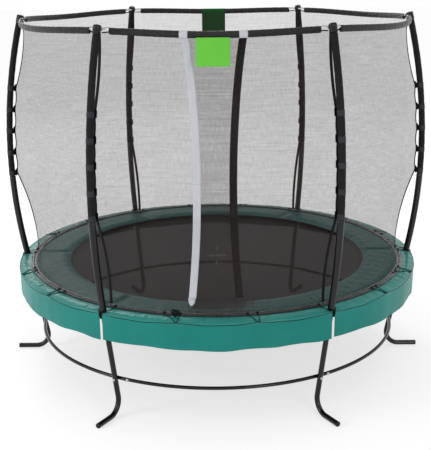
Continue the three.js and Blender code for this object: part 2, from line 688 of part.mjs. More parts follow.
// Side 1 is the right panel, which lies outside; side -1 is its mirror, which lies inside.
function entrancePoint(side, column, row, standoff) {
  const angle = entranceAngles(row)[column];
  const point = netPoint(angle, row);
  const nearness = (POST_SIDE_ANGLE - angle) / (2 * POST_SIDE_ANGLE);
  const layer = LAYER_SPACING * nearness + standoff;
  return new THREE.Vector3(side * point.x, point.y - side * layer, point.z);
}

function entranceCloth(side, columns, thickness, standoff) {
  const pointAt = (column, row) => (
    entrancePoint(side, side > 0 ? column : columns - column, row, standoff));
  return cloth(columns, pointAt, () => new THREE.Vector3(0, -thickness, 0));
}

function entrancePanel(side) {
  return entranceCloth(side, NET_COLUMNS + 1, NET_THICKNESS, 0);
}

function entranceStrip(side) {
  const standoff = NET_THICKNESS / 2 + SEAT_GAP + STRIP_THICKNESS / 2;
  return entranceCloth(side, 1, STRIP_THICKNESS, standoff);
}

// The wedge that parts a flap from its panel, seen along Y: from two points on the free edge to a
// corner at the waist's height, pushed by the given amount towards the free edge.
function flapWedge(side, push) {
  const edgeAt = (height) => new THREE.Vector2(-stripOffsetAt(height) - STRIP_WIDTH / 2, height);
  const corner = new THREE.Vector2(FLAP_CORNER_OFFSET, STRIP_WAIST_HEIGHT);
  const beyond = 1 + STRIP_WIDTH / FLAP_CORNER_OFFSET;
  const reach = (height) => corner.clone().lerp(edgeAt(height), beyond);
  const outline = [corner, reach(FLAP_TOP_HEIGHT), reach(FLAP_BOTTOM_HEIGHT)];
  const shape = new THREE.Shape(outline.map((point) => (
    new THREE.Vector2(side * (point.x - push), point.y))));
  const wedge = new THREE.ExtrudeGeometry(shape, { depth: FRAME_RADIUS, bevelEnabled: false });
  return wedge.rotateX(Math.PI / 2).translate(0, -FRAME_RADIUS / 2, 0);
}

const entranceFlap = (side) => common(entrancePanel(side), flapWedge(side, FLAP_GAP));
const entranceSurround = (side) => cut(entrancePanel(side), flapWedge(side, 0));

// Patches hang outside the hoop, flat against it.
function patch() {
  const hoopFace = HOOP_RADIUS + HOOP_ROD_DIAMETER / 2;
  const plate = new THREE.BoxGeometry(PATCH_THICKNESS, PATCH_WIDTH, PATCH_DROP);
  const top = HOOP_HEIGHT - HOOP_SAG;
  return plate.translate(hoopFace + SEAT_GAP + PATCH_THICKNESS / 2, 0, top - PATCH_DROP / 2);
}

const trampoline = new THREE.Group();

function addPiece(name, geometry, finish, turn = 0) {
  const mesh = new THREE.Mesh(geometry, new THREE.MeshStandardMaterial(FINISH[finish]));
  mesh.name = name;
  mesh.rotation.z = turn;
  trampoline.add(mesh);
}

function addRound(name, geometry, finish) {
  for (let bay = 0; bay < BAY_COUNT; bay += 1) {
    addPiece(`${name}_${bay + 1}`, geometry, finish, bay * BAY_ANGLE);
  }
}

addRound('frame_segment', frameSegment(), 'powderCoat');
addRound('leg', leg(), 'powderCoat');
addRound('foot_plug', footPlug(), 'plastic');
addRound('ground_ring_segment', tieRingSegment(), 'powderCoat');
addRound('post', post(), 'powderCoat');
addRound('post_sleeve', postSleeve(), 'sleeveFabric');
addRound('post_cap', postCap(), 'plastic');
addPiece('top_hoop', hoop(), 'hoopRod');
addPiece('jumping_mat', mat(), 'matMesh');
addPiece('mat_rim_with_springs', springRim(), 'springRim');
addPiece('safety_pad', safetyPad(), 'padVinyl');
addPiece('net_hem', netHem(), 'hemVinyl');

const closedBay = netPanel();
for (let bay = 1; bay < BAY_COUNT; bay += 1) {
  addPiece(`net_panel_${bay}`, closedBay, 'netMesh', bay * BAY_ANGLE);
}
addPiece('entrance_panel_outer', entranceSurround(1), 'netMesh');
addPiece('entrance_panel_inner', entranceSurround(-1), 'netMesh');
addPiece('entrance_flap_outer', entranceFlap(1), 'netMesh');
addPiece('entrance_flap_inner', entranceFlap(-1), 'netMesh');
addPiece('entrance_strip_outer', entranceStrip(1), 'paleWebbing');
addPiece('entrance_strip_inner', entranceStrip(-1), 'darkWebbing');
addPiece('patch_front', patch(), 'brightPatch', FRONT);
addPiece('patch_back', patch(), 'darkPatch', -FRONT);

export default trampoline;
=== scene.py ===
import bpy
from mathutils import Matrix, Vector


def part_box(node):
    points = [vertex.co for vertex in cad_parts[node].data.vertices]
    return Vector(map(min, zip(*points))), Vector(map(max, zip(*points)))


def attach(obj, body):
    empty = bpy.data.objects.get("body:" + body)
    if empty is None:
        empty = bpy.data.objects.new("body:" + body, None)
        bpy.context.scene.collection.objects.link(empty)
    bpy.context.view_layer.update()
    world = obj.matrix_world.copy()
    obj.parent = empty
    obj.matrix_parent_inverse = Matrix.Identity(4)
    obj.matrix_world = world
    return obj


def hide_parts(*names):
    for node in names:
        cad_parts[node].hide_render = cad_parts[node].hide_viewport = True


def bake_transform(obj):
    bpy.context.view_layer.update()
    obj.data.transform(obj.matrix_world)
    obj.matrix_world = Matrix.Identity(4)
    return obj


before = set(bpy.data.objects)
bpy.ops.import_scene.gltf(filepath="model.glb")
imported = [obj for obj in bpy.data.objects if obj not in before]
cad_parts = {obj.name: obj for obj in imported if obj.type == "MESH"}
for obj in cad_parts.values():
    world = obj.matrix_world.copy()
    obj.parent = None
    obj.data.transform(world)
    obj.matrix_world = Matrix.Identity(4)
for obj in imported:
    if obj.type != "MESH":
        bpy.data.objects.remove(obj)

"""A round backyard trampoline with a curved-post net enclosure, dressed in Blender.

Everything is in metres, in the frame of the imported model: +Z up, the origin on the ground under
the middle of the mat, the first post on +X and the entrance of the net towards -Y.
"""

import logging
import math
from dataclasses import dataclass, field
from enum import Enum
from typing import Callable, Sequence

import bmesh
import bpy
import numpy as np
from mathutils import Matrix, Vector
from mathutils.bvhtree import BVHTree

LOG = logging.getLogger("trampoline")
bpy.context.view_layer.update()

BAYS = 6
BAY_ANGLE = 2 * math.pi / BAYS
HALF_BAY = BAY_ANGLE / 2
FRONT = -math.pi / 2
UP = (0, 0, 1)
ACROSS = (0, 1, 0)
SHARP_ANGLE = math.radians(40)
HEM_RADIUS = 1.438


def reach(node: str, high: bool = True) -> float:
    """The highest or the lowest height of a CAD node, in metres."""
    low_corner, high_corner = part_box(node)
    return float((high_corner if high else low_corner)[2])


class Side(Enum):
    """Which of the two entrance panels a piece belongs to."""

    OUTER = 1
    INNER = -1


class Share(Enum):
    """The part of an entrance piece that a face belongs to once the flap is parted off."""

    FIXED = "fixed"
    FOOT = "foot"
    UPPER = "upper"
    LOWER = "lower"


# Shader maths


class Wire:
    """A shader socket on which Python arithmetic adds Math nodes."""

    def __init__(self, sheet: "NodeSheet", socket: bpy.types.NodeSocket) -> None:
        """Keep the socket and the sheet that its nodes are added to."""
        self.sheet = sheet
        self.socket = socket

    def _math(self, operation: str, *values: object) -> "Wire":
        """The result of a Math node with one or two values or wires."""
        return self.sheet.node("ShaderNodeMath", dict(enumerate(values)), operation=operation)[0]

    def __add__(self, other: object) -> "Wire":
        """Sum."""
        return self._math("ADD", self, other)

    def __radd__(self, other: object) -> "Wire":
        """Sum, with the wire second."""
        return self._math("ADD", other, self)

    def __sub__(self, other: object) -> "Wire":
        """Difference."""
        return self._math("SUBTRACT", self, other)

    def __rsub__(self, other: object) -> "Wire":
        """Difference, with the wire second."""
        return self._math("SUBTRACT", other, self)

    def __mul__(self, other: object) -> "Wire":
        """Product."""
        return self._math("MULTIPLY", self, other)

    def __rmul__(self, other: object) -> "Wire":
        """Product, with the wire second."""
        return self._math("MULTIPLY", other, self)

    def sine(self) -> "Wire":
        """Sine of an angle in radians."""
        return self._math("SINE", self)

    def size(self) -> "Wire":
        """Absolute value."""
        return self._math("ABSOLUTE", self)

    def power(self, exponent: float) -> "Wire":
        """This value to a power."""
        return self._math("POWER", self, exponent)

    def below(self, limit: object) -> "Wire":
        """1 where this value is under the limit, and 0 elsewhere."""
        return self._math("LESS_THAN", self, limit)

    def larger(self, other: object) -> "Wire":
        """The larger of the two values."""
        return self._math("MAXIMUM", self, other)


class Nodes:
    """A node tree to which nodes of any type are added."""

    tree: bpy.types.NodeTree

    def node(self, kind: str, inputs: dict, **settings: object) -> list:
        """Add one node of any type.

        Args:
            kind: the node's type.
            inputs: values, sockets or wires by socket name or number.
            settings: the node's own settings, which are set first.

        Returns:
            Its outputs.
        """
        made = self.tree.nodes.new(kind)
        for key, value in settings.items():
            setattr(made, key, value)
        for key, value in inputs.items():
            self.feed(made.inputs[key], value)
        return list(made.outputs)

    def feed(self, socket: bpy.types.NodeSocket, value: object) -> None:
        """Link a wire or a socket to an input, or set a value on it.

        Args:
            socket: the input.
            value: the wire, socket or value.
        """
        source = value.socket if isinstance(value, Wire) else value
        if isinstance(source, bpy.types.NodeSocket):
            self.tree.links.new(source, socket)
        else:
            socket.default_value = value


class NodeSheet(Nodes):
    """The node tree of one material with its principled shader, or of the world."""

    def __init__(self, name: str, world: bool = False) -> None:
        """Make the material or the world, and clear its tree.

        Args:
            name: its name.
            world: make the world instead of a material.
        """
        self.material = (bpy.data.worlds if world else bpy.data.materials).new(name)
        self.material.use_nodes = True
        self.tree = self.material.node_tree
        self.tree.nodes.clear()
        self.shader = self.tree.nodes.new("ShaderNodeBackground" if world else "ShaderNodeBsdfPrincipled")
        self.output = self.tree.nodes.new("ShaderNodeOutputWorld" if world else "ShaderNodeOutputMaterial")
        self.tree.links.new(self.shader.outputs[0], self.output.inputs[0])

    def node(self, kind: str, inputs: dict, **settings: object) -> list[Wire]:
        """Add one node of any type, and give its outputs as wires."""
        return [Wire(self, socket) for socket in super().node(kind, inputs, **settings)]

    def place(self) -> Wire:
        """Object coordinates."""
        return self.node("ShaderNodeTexCoord", {})[3]

    def cloth_place(self) -> Wire:
        """The piece's own UV map, in metres over the cloth."""
        return self.node("ShaderNodeUVMap", {}, uv_map="Cloth")[0]

    def axes(self, vector: Wire) -> list[Wire]:
        """The three parts of a vector."""
        return self.node("ShaderNodeSeparateXYZ", {"Vector": vector})

    def scaled(self, vector: Wire, scale: tuple[float, float, float]) -> Wire:
        """A vector with its three parts multiplied by a Mapping node."""
        return self.node("ShaderNodeMapping", {"Vector": vector, "Scale": scale})[0]

    def ramp(self, value: Wire, low: float, high: float) -> Wire:
        """0 up to the low value, 1 from the high value on, and a straight rise between."""
        return self.node("ShaderNodeMapRange", {"Value": value, "From Min": low, "From Max": high})[0]

    def noise(self, vector: Wire, scale: float, detail: float = 3.0) -> Wire:
        """Fractal noise from 0 to 1, by how many lumps it has to the metre and its octaves."""
        inputs = {"Vector": vector, "Scale": scale, "Detail": detail}
        return self.node("ShaderNodeTexNoise", inputs)[0]

    def blend_colour(self, share: object, first: object, second: object) -> Wire:
        """A colour or wire mixed with a share, from 0 to 1, of a second one."""
        inputs = {0: share, 6: first, 7: second}
        return self.node("ShaderNodeMix", inputs, data_type="RGBA")[2]

    def relief(self, height: Wire, distance: float, strength: float = 1.0) -> None:
        """Feed a height into the shader's normal through a Bump node."""
        inputs = {"Height": height, "Distance": distance, "Strength": strength}
        self.set(Normal=self.node("ShaderNodeBump", inputs)[0])

    def set(self, **values: object) -> None:
        """Set or feed the shader's sockets, named with _ for each space."""
        for key, value in values.items():
            self.feed(self.shader.inputs[key.replace("_", " ")], value)


def tint(red: float, green: float, blue: float) -> tuple[float, float, float, float]:
    """A screen colour from 0 to 255 as the linear colour that shaders use.

    Args:
        red: red part.
        green: green part.
        blue: blue part.

    Returns:
        The linear colour with full alpha.
    """
    def linear(part: float) -> float:
        """One part of the colour, made linear."""
        share = part / 255
        return share / 12.92 if share <= 0.04045 else ((share + 0.055) / 1.055) ** 2.4

    return linear(red), linear(green), linear(blue), 1.0


@dataclass(frozen=True)
class Finish:
    """A plain finish: a base colour that varies a little, and a fine grain."""

    name: str
    colour: tuple[float, float, float, float]
    shade: tuple[float, float, float, float]
    roughness: float
    metallic: float = 0.0
    coat: float = 0.0
    specular: float = 0.5
    grain_scale: float = 600.0
    grain_depth: float = 0.0002

    def make(self) -> bpy.types.Material:
        """Build the material."""
        sheet = NodeSheet(self.name)
        place = sheet.place()
        patches = sheet.noise(place, 9.0)
        sheet.set(
            Base_Color=sheet.blend_colour(patches, self.colour, self.shade),
            Roughness=self.roughness + (patches - 0.5) * 0.1,
            Metallic=self.metallic,
            Coat_Weight=self.coat,
            Coat_Roughness=0.12,
            Specular_IOR_Level=self.specular,
        )
        sheet.relief(sheet.noise(place, self.grain_scale, 2.0), self.grain_depth)
        return sheet.material


@dataclass(frozen=True)
class Woven:
    """A woven webbing or cloth whose threads follow its own UV map."""

    name: str
    colour: tuple[float, float, float, float]
    shade: tuple[float, float, float, float]
    roughness: float
    pitch: float = 0.0024
    depth: float = 0.0005
    wrinkle: float = 0.0
    specular: float = 0.12

    def make(self) -> bpy.types.Material:
        """Build the material."""
        sheet = NodeSheet(self.name)
        across, along, _ = sheet.axes(sheet.cloth_place())
        turn = 2 * math.pi / self.pitch
        threads = ((across * turn).sine() * (along * turn).sine() + 1) * 0.5
        dirt = sheet.noise(sheet.place(), 14.0)
        share = threads * 0.5 + dirt * 0.5
        sheet.set(
            Base_Color=sheet.blend_colour(share, self.shade, self.colour),
            Roughness=self.roughness + (dirt - 0.5) * 0.1,
            Specular_IOR_Level=self.specular,
        )
        if self.wrinkle:
            folds = sheet.noise(sheet.place(), 38.0, 4.0)
            sheet.relief(threads * 0.12 + folds * self.wrinkle, 0.006)
        else:
            sheet.relief(threads, self.depth)
        return sheet.material


@dataclass(frozen=True)
class NetMesh:
    """An open knitted net: fine threads both ways, holes between them, and uneven slubs."""

    name: str = "knitted_net"
    pitch: float = 0.0036
    open_alpha: float = 0.08
    thread_alpha: float = 0.435
    slub: float = 0.24
    slub_pitch: float = 0.009
    slub_run: float = 0.09

    def make(self) -> bpy.types.Material:
        """Build the material."""
        sheet = NodeSheet(self.name)
        cloth = sheet.cloth_place()
        across, along, _ = sheet.axes(cloth)
        turn = math.pi / self.pitch
        ribs = (across * turn).sine().size().power(3.0)
        rows = (along * turn).sine().size().power(3.0)
        threads = ribs.larger(rows)
        fine, run = 1 / self.slub_pitch, 1 / self.slub_run
        level = sheet.noise(sheet.scaled(cloth, (run * 0.4, fine * 0.8, 1.0)), 1.0)
        upright = sheet.noise(sheet.scaled(cloth, (fine, run * 1.4, 1.0)), 1.0)
        slubs = level + upright - 1.0
        tone = sheet.noise(sheet.place(), 2.5)
        cover = self.open_alpha + threads * (self.thread_alpha - self.open_alpha)
        sheet.set(
            Base_Color=sheet.blend_colour(tone, tint(42, 35, 35), tint(70, 60, 61)),
            Roughness=0.7 + tone * 0.15,
            Specular_IOR_Level=0.1,
            Alpha=cover + slubs * self.slub + (tone - 0.5) * 0.08,
        )
        return sheet.material


@dataclass(frozen=True)
class PadVinyl:
    """Laminated vinyl of the pad and skirt: a fine scrim, creases, painted shade inside the hem and on the
    inner edge.
    """

    name: str = "pad_vinyl"
    # Inside this radius the pad's inner edge is painted near-black as shade.
    inner_edge_shade_radius: float = 1.1635
    shade_start: float = 1.40
    shade_end: float = 1.45
    top_height: float = 0.80

    def make(self) -> bpy.types.Material:
        """Build the material."""
        sheet = NodeSheet(self.name)
        place = sheet.place()
        x, y, z = sheet.axes(place)
        radius = (x * x + y * y).power(0.5)
        across, along, _ = sheet.axes(sheet.cloth_place())
        scrim = (across * 2200).sine() * (along * 2200).sine()
        creases = sheet.noise(place, 20.0, 5.0)
        broad = sheet.noise(place, 3.0, 2.0)
        on_top = sheet.ramp(z, self.top_height - 0.01, self.top_height)
        # Painted shade: inside the hem, where the net shades the pad, the vinyl takes a darker copy of its
        # colour.
        outer = sheet.ramp(radius, self.shade_start, self.shade_end)
        lit_vinyl = sheet.blend_colour(broad, tint(14, 118, 110), tint(30, 140, 131))
        shaded = sheet.blend_colour(broad, tint(8, 62, 58), tint(22, 88, 83))
        vinyl = sheet.blend_colour(outer, shaded, lit_vinyl)
        # Painted shade: a near-black band at the inner edge stands for the shaded inner face of the pad.
        inner_edge_shade = radius.below(self.inner_edge_shade_radius)
        sheet.set(
            Base_Color=sheet.blend_colour(inner_edge_shade, vinyl, tint(12, 14, 14)),
            Roughness=0.3 + creases * 0.2,
            Specular_IOR_Level=0.16,
            Coat_Weight=outer * (on_top * 0.4 + 0.06),
            Coat_Roughness=0.18,
        )
        sheet.relief(creases * (on_top * 0.85 + 0.15) + scrim * 0.02, 0.0035, 0.6)
        return sheet.material


@dataclass(frozen=True)
class MatWeave:
    """The jumping mat: a tight dark weave, slightly see-through, with plain aiming marks."""

    name: str = "mat_weave"
    pitch: float = 0.003
    see_through: float = 0.03
    mark_width: float = 0.010
    tick_start: float = 0.14
    tick_end: float = 0.24
    bar_half: float = 0.08

    def make(self) -> bpy.types.Material:
        """Build the material."""
        sheet = NodeSheet(self.name)
        place = sheet.place()
        x, y, _ = sheet.axes(place)
        turn = 2 * math.pi / self.pitch
        threads = ((x * turn).sine() * (y * turn).sine() + 1) * 0.5
        worn = sheet.noise(place, 7.0, 4.0)
        base = sheet.blend_colour(threads * 0.3 + worn * 0.7, tint(23, 22, 20), tint(43, 42, 40))
        ticks = y.size().below(self.tick_end) * (1 - y.size().below(self.tick_start))
        upright = x.size().below(self.mark_width / 2) * ticks
        level = y.size().below(self.mark_width) * x.size().below(self.bar_half)
        sheet.set(
            Base_Color=sheet.blend_colour(upright.larger(level), base, tint(104, 104, 102)),
            Roughness=0.78 + worn * 0.15,
            Alpha=1 - self.see_through,
            Specular_IOR_Level=0.06,
        )
        return sheet.material


class Palette:
    """All the finishes, each made once."""

    def __init__(self) -> None:
        """Build every material."""
        self.powder = Finish(
            "black_powder_coat", tint(10, 10, 11), tint(18, 18, 19), 0.15, specular=0.34
        ).make()
        self.plastic = Finish(
            "moulded_plastic", tint(13, 12, 14), tint(25, 23, 26), 0.26, specular=0.28
        ).make()
        self.rod = Finish("fibreglass_rod", tint(236, 237, 236), tint(214, 214, 212), 0.35).make()
        steel = tint(196, 198, 200)
        self.zinc = Finish("zinc_steel", steel, tint(150, 152, 156), 0.3, metallic=0.9).make()
        self.hem = Finish(
            "hem_vinyl", tint(8, 6, 7), tint(16, 12, 14), 0.14, coat=0.6, specular=0.12,
            grain_scale=55.0, grain_depth=0.005,
        ).make()
        # Painted shade: the welt's dark teal stands for the shadow in the fold under the pad's edge.
        self.seam = Finish(
            "pad_seam_painted_shade", tint(4, 44, 42), tint(8, 58, 55), 0.5, specular=0.12
        ).make()
        self.cord = Finish(
            "bungee_cord", tint(8, 8, 9), tint(20, 19, 20), 0.6, specular=0.15
        ).make()
        self.sleeve = Woven("sleeve_cloth", tint(36, 36, 38), tint(18, 18, 19), 0.62).make()
        self.bands = Woven("strap_webbing", tint(64, 65, 72), tint(42, 43, 48), 0.6).make()
        self.strap_pad = Finish(
            "strap_pad_cloth", tint(8, 8, 9), tint(18, 18, 19), 0.8, specular=0.1
        ).make()
        self.webbing = Woven("dark_webbing", tint(42, 40, 41), tint(20, 19, 20), 0.7).make()
        self.reflective = Woven("pale_webbing", tint(220, 221, 228), tint(194, 195, 202), 0.5).make()
        self.tunnel = Woven(
            "tunnel_cloth", tint(22, 22, 24), tint(7, 7, 8), 0.28, wrinkle=2.2, specular=0.3
        ).make()
        self.bright_patch = Woven(
            "bright_green_patch", tint(118, 212, 76), tint(102, 196, 64), 0.62, 0.003, 0.0003
        ).make()
        self.dark_patch = Woven(
            "dark_green_patch", tint(16, 92, 34), tint(6, 66, 20), 0.62, 0.003, 0.0003
        ).make()
        self.rim = Woven("rim_webbing", tint(48, 48, 50), tint(20, 20, 21), 0.82).make()
        self.net = NetMesh().make()
        self.pad = PadVinyl().make()
        self.mat = MatWeave().make()


# Mesh helpers


def turned(points: np.ndarray, angle: float) -> np.ndarray:
    """Rows of x, y, z turned about the vertical axis by an angle in radians."""
    c, s = math.cos(angle), math.sin(angle)
    return points @ np.array([[c, s, 0], [-s, c, 0], [0, 0, 1]])


def polar(radius: object, turn: object, height: object) -> np.ndarray:
    """Points by their distance from the vertical axis, their angle from +X and their height."""
    return np.stack(np.broadcast_arrays(radius * np.cos(turn), radius * np.sin(turn), height), -1)


def pushed_out(grid: np.ndarray, distance: object) -> np.ndarray:
    """Points moved level away from the vertical axis, by one distance or by one for each."""
    level = grid * np.array([1.0, 1.0, 0.0])
    return grid + level / np.linalg.norm(level, axis=-1)[..., None] * np.asarray(distance)[..., None]


class Draft:
    """Vertices, faces and UVs that are collected before they become one mesh."""

    def __init__(self) -> None:
        """Start empty."""
        self.points: list[tuple[float, float, float]] = []
        self.faces: list[tuple[int, ...]] = []
        self.uvs: list[tuple[float, float]] = []

    def add_grid(
        self, grid: np.ndarray, wrap: bool = False, flip: bool = False, uv: np.ndarray | None = None
    ) -> None:
        """Add a sheet of quads.

        Args:
            grid: rows by columns by 3 points.
            wrap: join the last column to the first.
            flip: turn the faces round.
            uv: rows by columns by 2 places on the cloth, in metres.
        """
        rows, columns = grid.shape[:2]
        index = len(self.points) + np.arange(rows * columns).reshape(rows, columns)
        if wrap:
            index = np.c_[index, index[:, 0]]
        self.points += [tuple(p) for p in grid.reshape(-1, 3)]
        if uv is None:
            uv = np.zeros((rows, columns, 2))
        self.uvs += [tuple(p) for p in uv.reshape(-1, 2)]
        quads = np.stack([index[:-1, :-1], index[:-1, 1:], index[1:, 1:], index[1:, :-1]], -1)
        self.faces += [tuple(quad[::-1] if flip else quad) for quad in quads.reshape(-1, 4).tolist()]

    def close_ends(self, ring: int) -> None:
        """Close the first and the last ring of a draft with a face of that many corners each."""
        last = len(self.points) - ring
        self.faces += [tuple(range(ring))[::-1], tuple(range(last, last + ring))]

    def add_tube(
        self, path: np.ndarray, radii: float | Sequence[float], side: Sequence[float],
        sides: int = 24, stretch: float = 1.0, closed: bool = False, capped: bool = True,
    ) -> None:
        """Sweep a round section along a path.

        Args:
            path: rows of x, y, z.
            radii: the radius, or the radius at each row.
            side: a direction across the path, everywhere.
            sides: corners of the section.
            stretch: the section's size across the side direction, as a share of that along it.
            closed: join the path's end to its start.
            capped: close the ends of an open path.
        """
        tangents = np.gradient(path, axis=0)
        if closed:
            tangents = np.roll(path, -1, 0) - np.roll(path, 1, 0)
        tangents /= np.linalg.norm(tangents, axis=1)[:, None]
        across = np.cross(tangents, np.array(side, float))
        across /= np.linalg.norm(across, axis=1)[:, None]
        lift = np.cross(across, tangents)
        turns = np.arange(sides) * 2 * math.pi / sides
        size = np.broadcast_to(np.array(radii, float), len(path))[:, None, None]
        ring = (
            lift[:, None, :] * np.cos(turns)[None, :, None]
            + across[:, None, :] * np.sin(turns)[None, :, None] * stretch
        )
        grid = path[:, None, :] + ring * size
        first = len(self.points)
        length = np.r_[0, np.cumsum(np.linalg.norm(np.diff(path, axis=0), axis=1))]
        around = turns[None, :] * float(np.mean(radii))
        uv = np.stack(np.broadcast_arrays(around, length[:, None]), -1)
        if closed:
            grid = np.concatenate([grid, grid[:1]])
            uv = np.concatenate([uv, uv[:1]])
        self.add_grid(grid, wrap=True, flip=True, uv=uv)
        if capped and not closed:
            self.faces.append(tuple(range(first, first + sides)))
            last = len(self.points) - sides
            self.faces.append(tuple(range(last, last + sides))[::-1])

    def add_lathe(self, outline: Sequence[tuple[float, float]], segments: int = 48) -> None:
        """Turn a closed outline about the vertical axis.

        Args:
            outline: the radius and height of each corner.
            segments: how many steps a turn has.
        """
        profile = np.array(outline, float)
        turns = np.arange(segments) * 2 * math.pi / segments
        self.add_grid(polar(profile[:, :1], turns[None, :], profile[:, 1:]), wrap=True)

    def add_plate(
        self, centre: Sequence[float], size: Sequence[float], corner: float, bevel: float = 0.0006
    ) -> None:
        """Add a flat plate with rounded corners, its thickness along X.

        Args:
            centre: its middle.
            size: its thickness, width along Y and height along Z.
            corner: the radius of its corners.
            bevel: the width of its broken edges.
        """
        thick, wide, tall = size
        outline = []
        for quarter, (side_y, side_z) in enumerate(((1, 1), (-1, 1), (-1, -1), (1, -1))):
            for turn in np.linspace(quarter, quarter + 1, 5) * math.pi / 2:
                outline.append((
                    side_y * (wide / 2 - corner) + corner * math.cos(turn),
                    side_z * (tall / 2 - corner) + corner * math.sin(turn),
                ))
        edge = 1 - 2 * bevel / min(wide, tall)
        half = thick / 2
        rings = [
            [(centre[0] + x, centre[1] + share * y, centre[2] + share * z) for y, z in outline]
            for x, share in (
                (-half, 0.0), (-half, edge), (bevel - half, 1.0),
                (half - bevel, 1.0), (half, edge), (half, 0.0),
            )
        ]
        grid = np.array(rings)
        self.add_grid(grid, wrap=True, uv=grid[..., 1:])

    def absorb(self, other: "Draft") -> None:
        """Take in another draft's points, places on the cloth and faces.

        Args:
            other: the other draft.
        """
        start = len(self.points)
        self.points += other.points
        self.uvs += other.uvs
        self.faces += [tuple(index + start for index in face) for face in other.faces]

    def moved(self, matrix: Matrix) -> "Draft":
        """Apply a matrix to every point, in place."""
        self.points = [tuple(matrix @ Vector(p)) for p in self.points]
        return self

    def make(self, name: str, material: bpy.types.Material, turn: float = 0.0) -> bpy.types.Object:
        """Turn the draft into an object whose faces point outwards.

        Args:
            name: the piece's name.
            material: its finish.
            turn: a turn about the vertical axis.

        Returns:
            The object, at the origin.
        """
        mesh = bpy.data.meshes.new(name)
        points = turned(np.array(self.points, float), turn)
        mesh.from_pydata([tuple(p) for p in points], [], self.faces)
        layer = mesh.uv_layers.new(name="Cloth")
        for loop in mesh.loops:
            layer.data[loop.index].uv = self.uvs[loop.vertex_index]
        tidy(mesh)
        return dress(mesh, name, material)


def tidy(mesh: bpy.types.Mesh) -> None:
    """Merge doubles, drop empty faces and turn closed shells outwards.

    Args:
        mesh: the mesh to clean in place.
    """
    work = bmesh.new()
    work.from_mesh(mesh)
    bmesh.ops.remove_doubles(work, verts=work.verts, dist=1e-6)
    bmesh.ops.dissolve_degenerate(work, edges=work.edges, dist=1e-7)
    if all(edge.is_manifold for edge in work.edges):
        bmesh.ops.recalc_face_normals(work, faces=work.faces)
    work.to_mesh(mesh)
    work.free()


def dress(mesh: bpy.types.Mesh, name: str, material: bpy.types.Material) -> bpy.types.Object:
    """Link a mesh as a smooth object with a finish.

    Args:
        mesh: the finished mesh.
        name: the piece's name.
        material: its finish.

    Returns:
        The object, at the origin.
    """
    mesh.materials.clear()
    mesh.materials.append(material)
    mesh.shade_smooth()
    mesh.set_sharp_from_angle(angle=SHARP_ANGLE)
    return add_object(name, mesh)


def add_object(name: str, data: bpy.types.ID) -> bpy.types.Object:
    """Link a new object for a mesh, lamp or camera to the scene.

    Args:
        name: its name.
        data: its mesh, lamp or camera.

    Returns:
        The object.
    """
    made = bpy.data.objects.new(name, data)
    bpy.context.scene.collection.objects.link(made)
    return made


def hold(piece: bpy.types.Object, slot: str, *nodes: str) -> None:
    """Let a finished piece ride on the frame and stand for CAD nodes.

    Args:
        piece: the finished piece.
        slot: the record's material slot; not used.
        nodes: the CAD nodes that it stands for.
    """
    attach(piece, "frame")
    if nodes:
        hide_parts(*nodes)


def mesh_points(mesh: bpy.types.Mesh) -> np.ndarray:
    """The places of a mesh's vertices."""
    return np.array([vertex.co for vertex in mesh.vertices])


def place_points(mesh: bpy.types.Mesh, points: np.ndarray) -> None:
    """Move a mesh's vertices to new places."""
    mesh.vertices.foreach_set("co", points.ravel())
    mesh.update()


def made_real(piece: bpy.types.Object) -> bpy.types.Mesh:
    """A new mesh of a piece as its modifiers leave it."""
    graph = bpy.context.evaluated_depsgraph_get()
    return bpy.data.meshes.new_from_object(piece.evaluated_get(graph))


def thicken(piece: bpy.types.Object, thickness: float) -> None:
    """Give a sheet its thickness, half on each side, as real mesh.

    Args:
        piece: the sheet.
        thickness: its thickness.
    """
    modifier = piece.modifiers.new("thickness", "SOLIDIFY")
    modifier.thickness = thickness
    modifier.offset = 0.0
    solid = made_real(piece)
    piece.modifiers.clear()
    piece.data = solid


def cloth_uv(grid: np.ndarray) -> np.ndarray:
    """Distances over a cloth, across and up, in metres.

    Args:
        grid: rows by columns by 3 points.

    Returns:
        Rows by columns by 2 places.
    """
    across = np.cumsum(np.linalg.norm(np.diff(grid, axis=1, prepend=grid[:, :1]), axis=-1), 1)
    up = np.cumsum(np.linalg.norm(np.diff(grid, axis=0, prepend=grid[:1]), axis=-1), 0)
    return np.stack([across - across.mean(1, keepdims=True), up], -1)


def hang_cloth(
    name: str, grid: np.ndarray, material: bpy.types.Material, slot: str, node: str,
    thickness: float = 0.0, turn: float = 0.0,
) -> None:
    """Args:
        name: the piece's name.
        grid: its points, in rows from the bottom.
        material: its finish.
        slot: the record's material slot.
        node: the CAD node that it stands for.
        thickness: its thickness, or 0 for a single layer.
        turn: a turn about the vertical axis.
    """
    uv = cloth_uv(grid)
    draft = Draft()
    draft.add_grid(grid, uv=uv)
    piece = draft.make(name, material, turn)
    if thickness:
        thicken(piece, thickness)
    hold(piece, slot, node)


def ripple(points: np.ndarray, size: float, depth: float, seed: float = 0.0) -> np.ndarray:
    """A smooth wavy height over points, from a few summed sines.

    Args:
        points: any array whose last axis is x, y, z.
        size: the length of its longest wave in metres.
        depth: its largest height in metres.
        seed: shifts the waves.

    Returns:
        One height a point.
    """
    x, y, z = points[..., 0], points[..., 1], points[..., 2]
    k = 2 * math.pi / size
    wave = (
        np.sin(k * (x + 0.6 * z) + seed)
        + 0.7 * np.sin(1.9 * k * (y - 0.4 * z) + 2.1 * seed + 1.3)
        + 0.5 * np.sin(3.1 * k * (0.7 * x + 0.7 * y) + 0.7 * seed + 4.0)
        + 0.4 * np.sin(4.3 * k * (z + 0.3 * x) + 1.7 * seed + 2.2)
    )
    return wave * depth / 2.6


# Shared lines of the enclosure


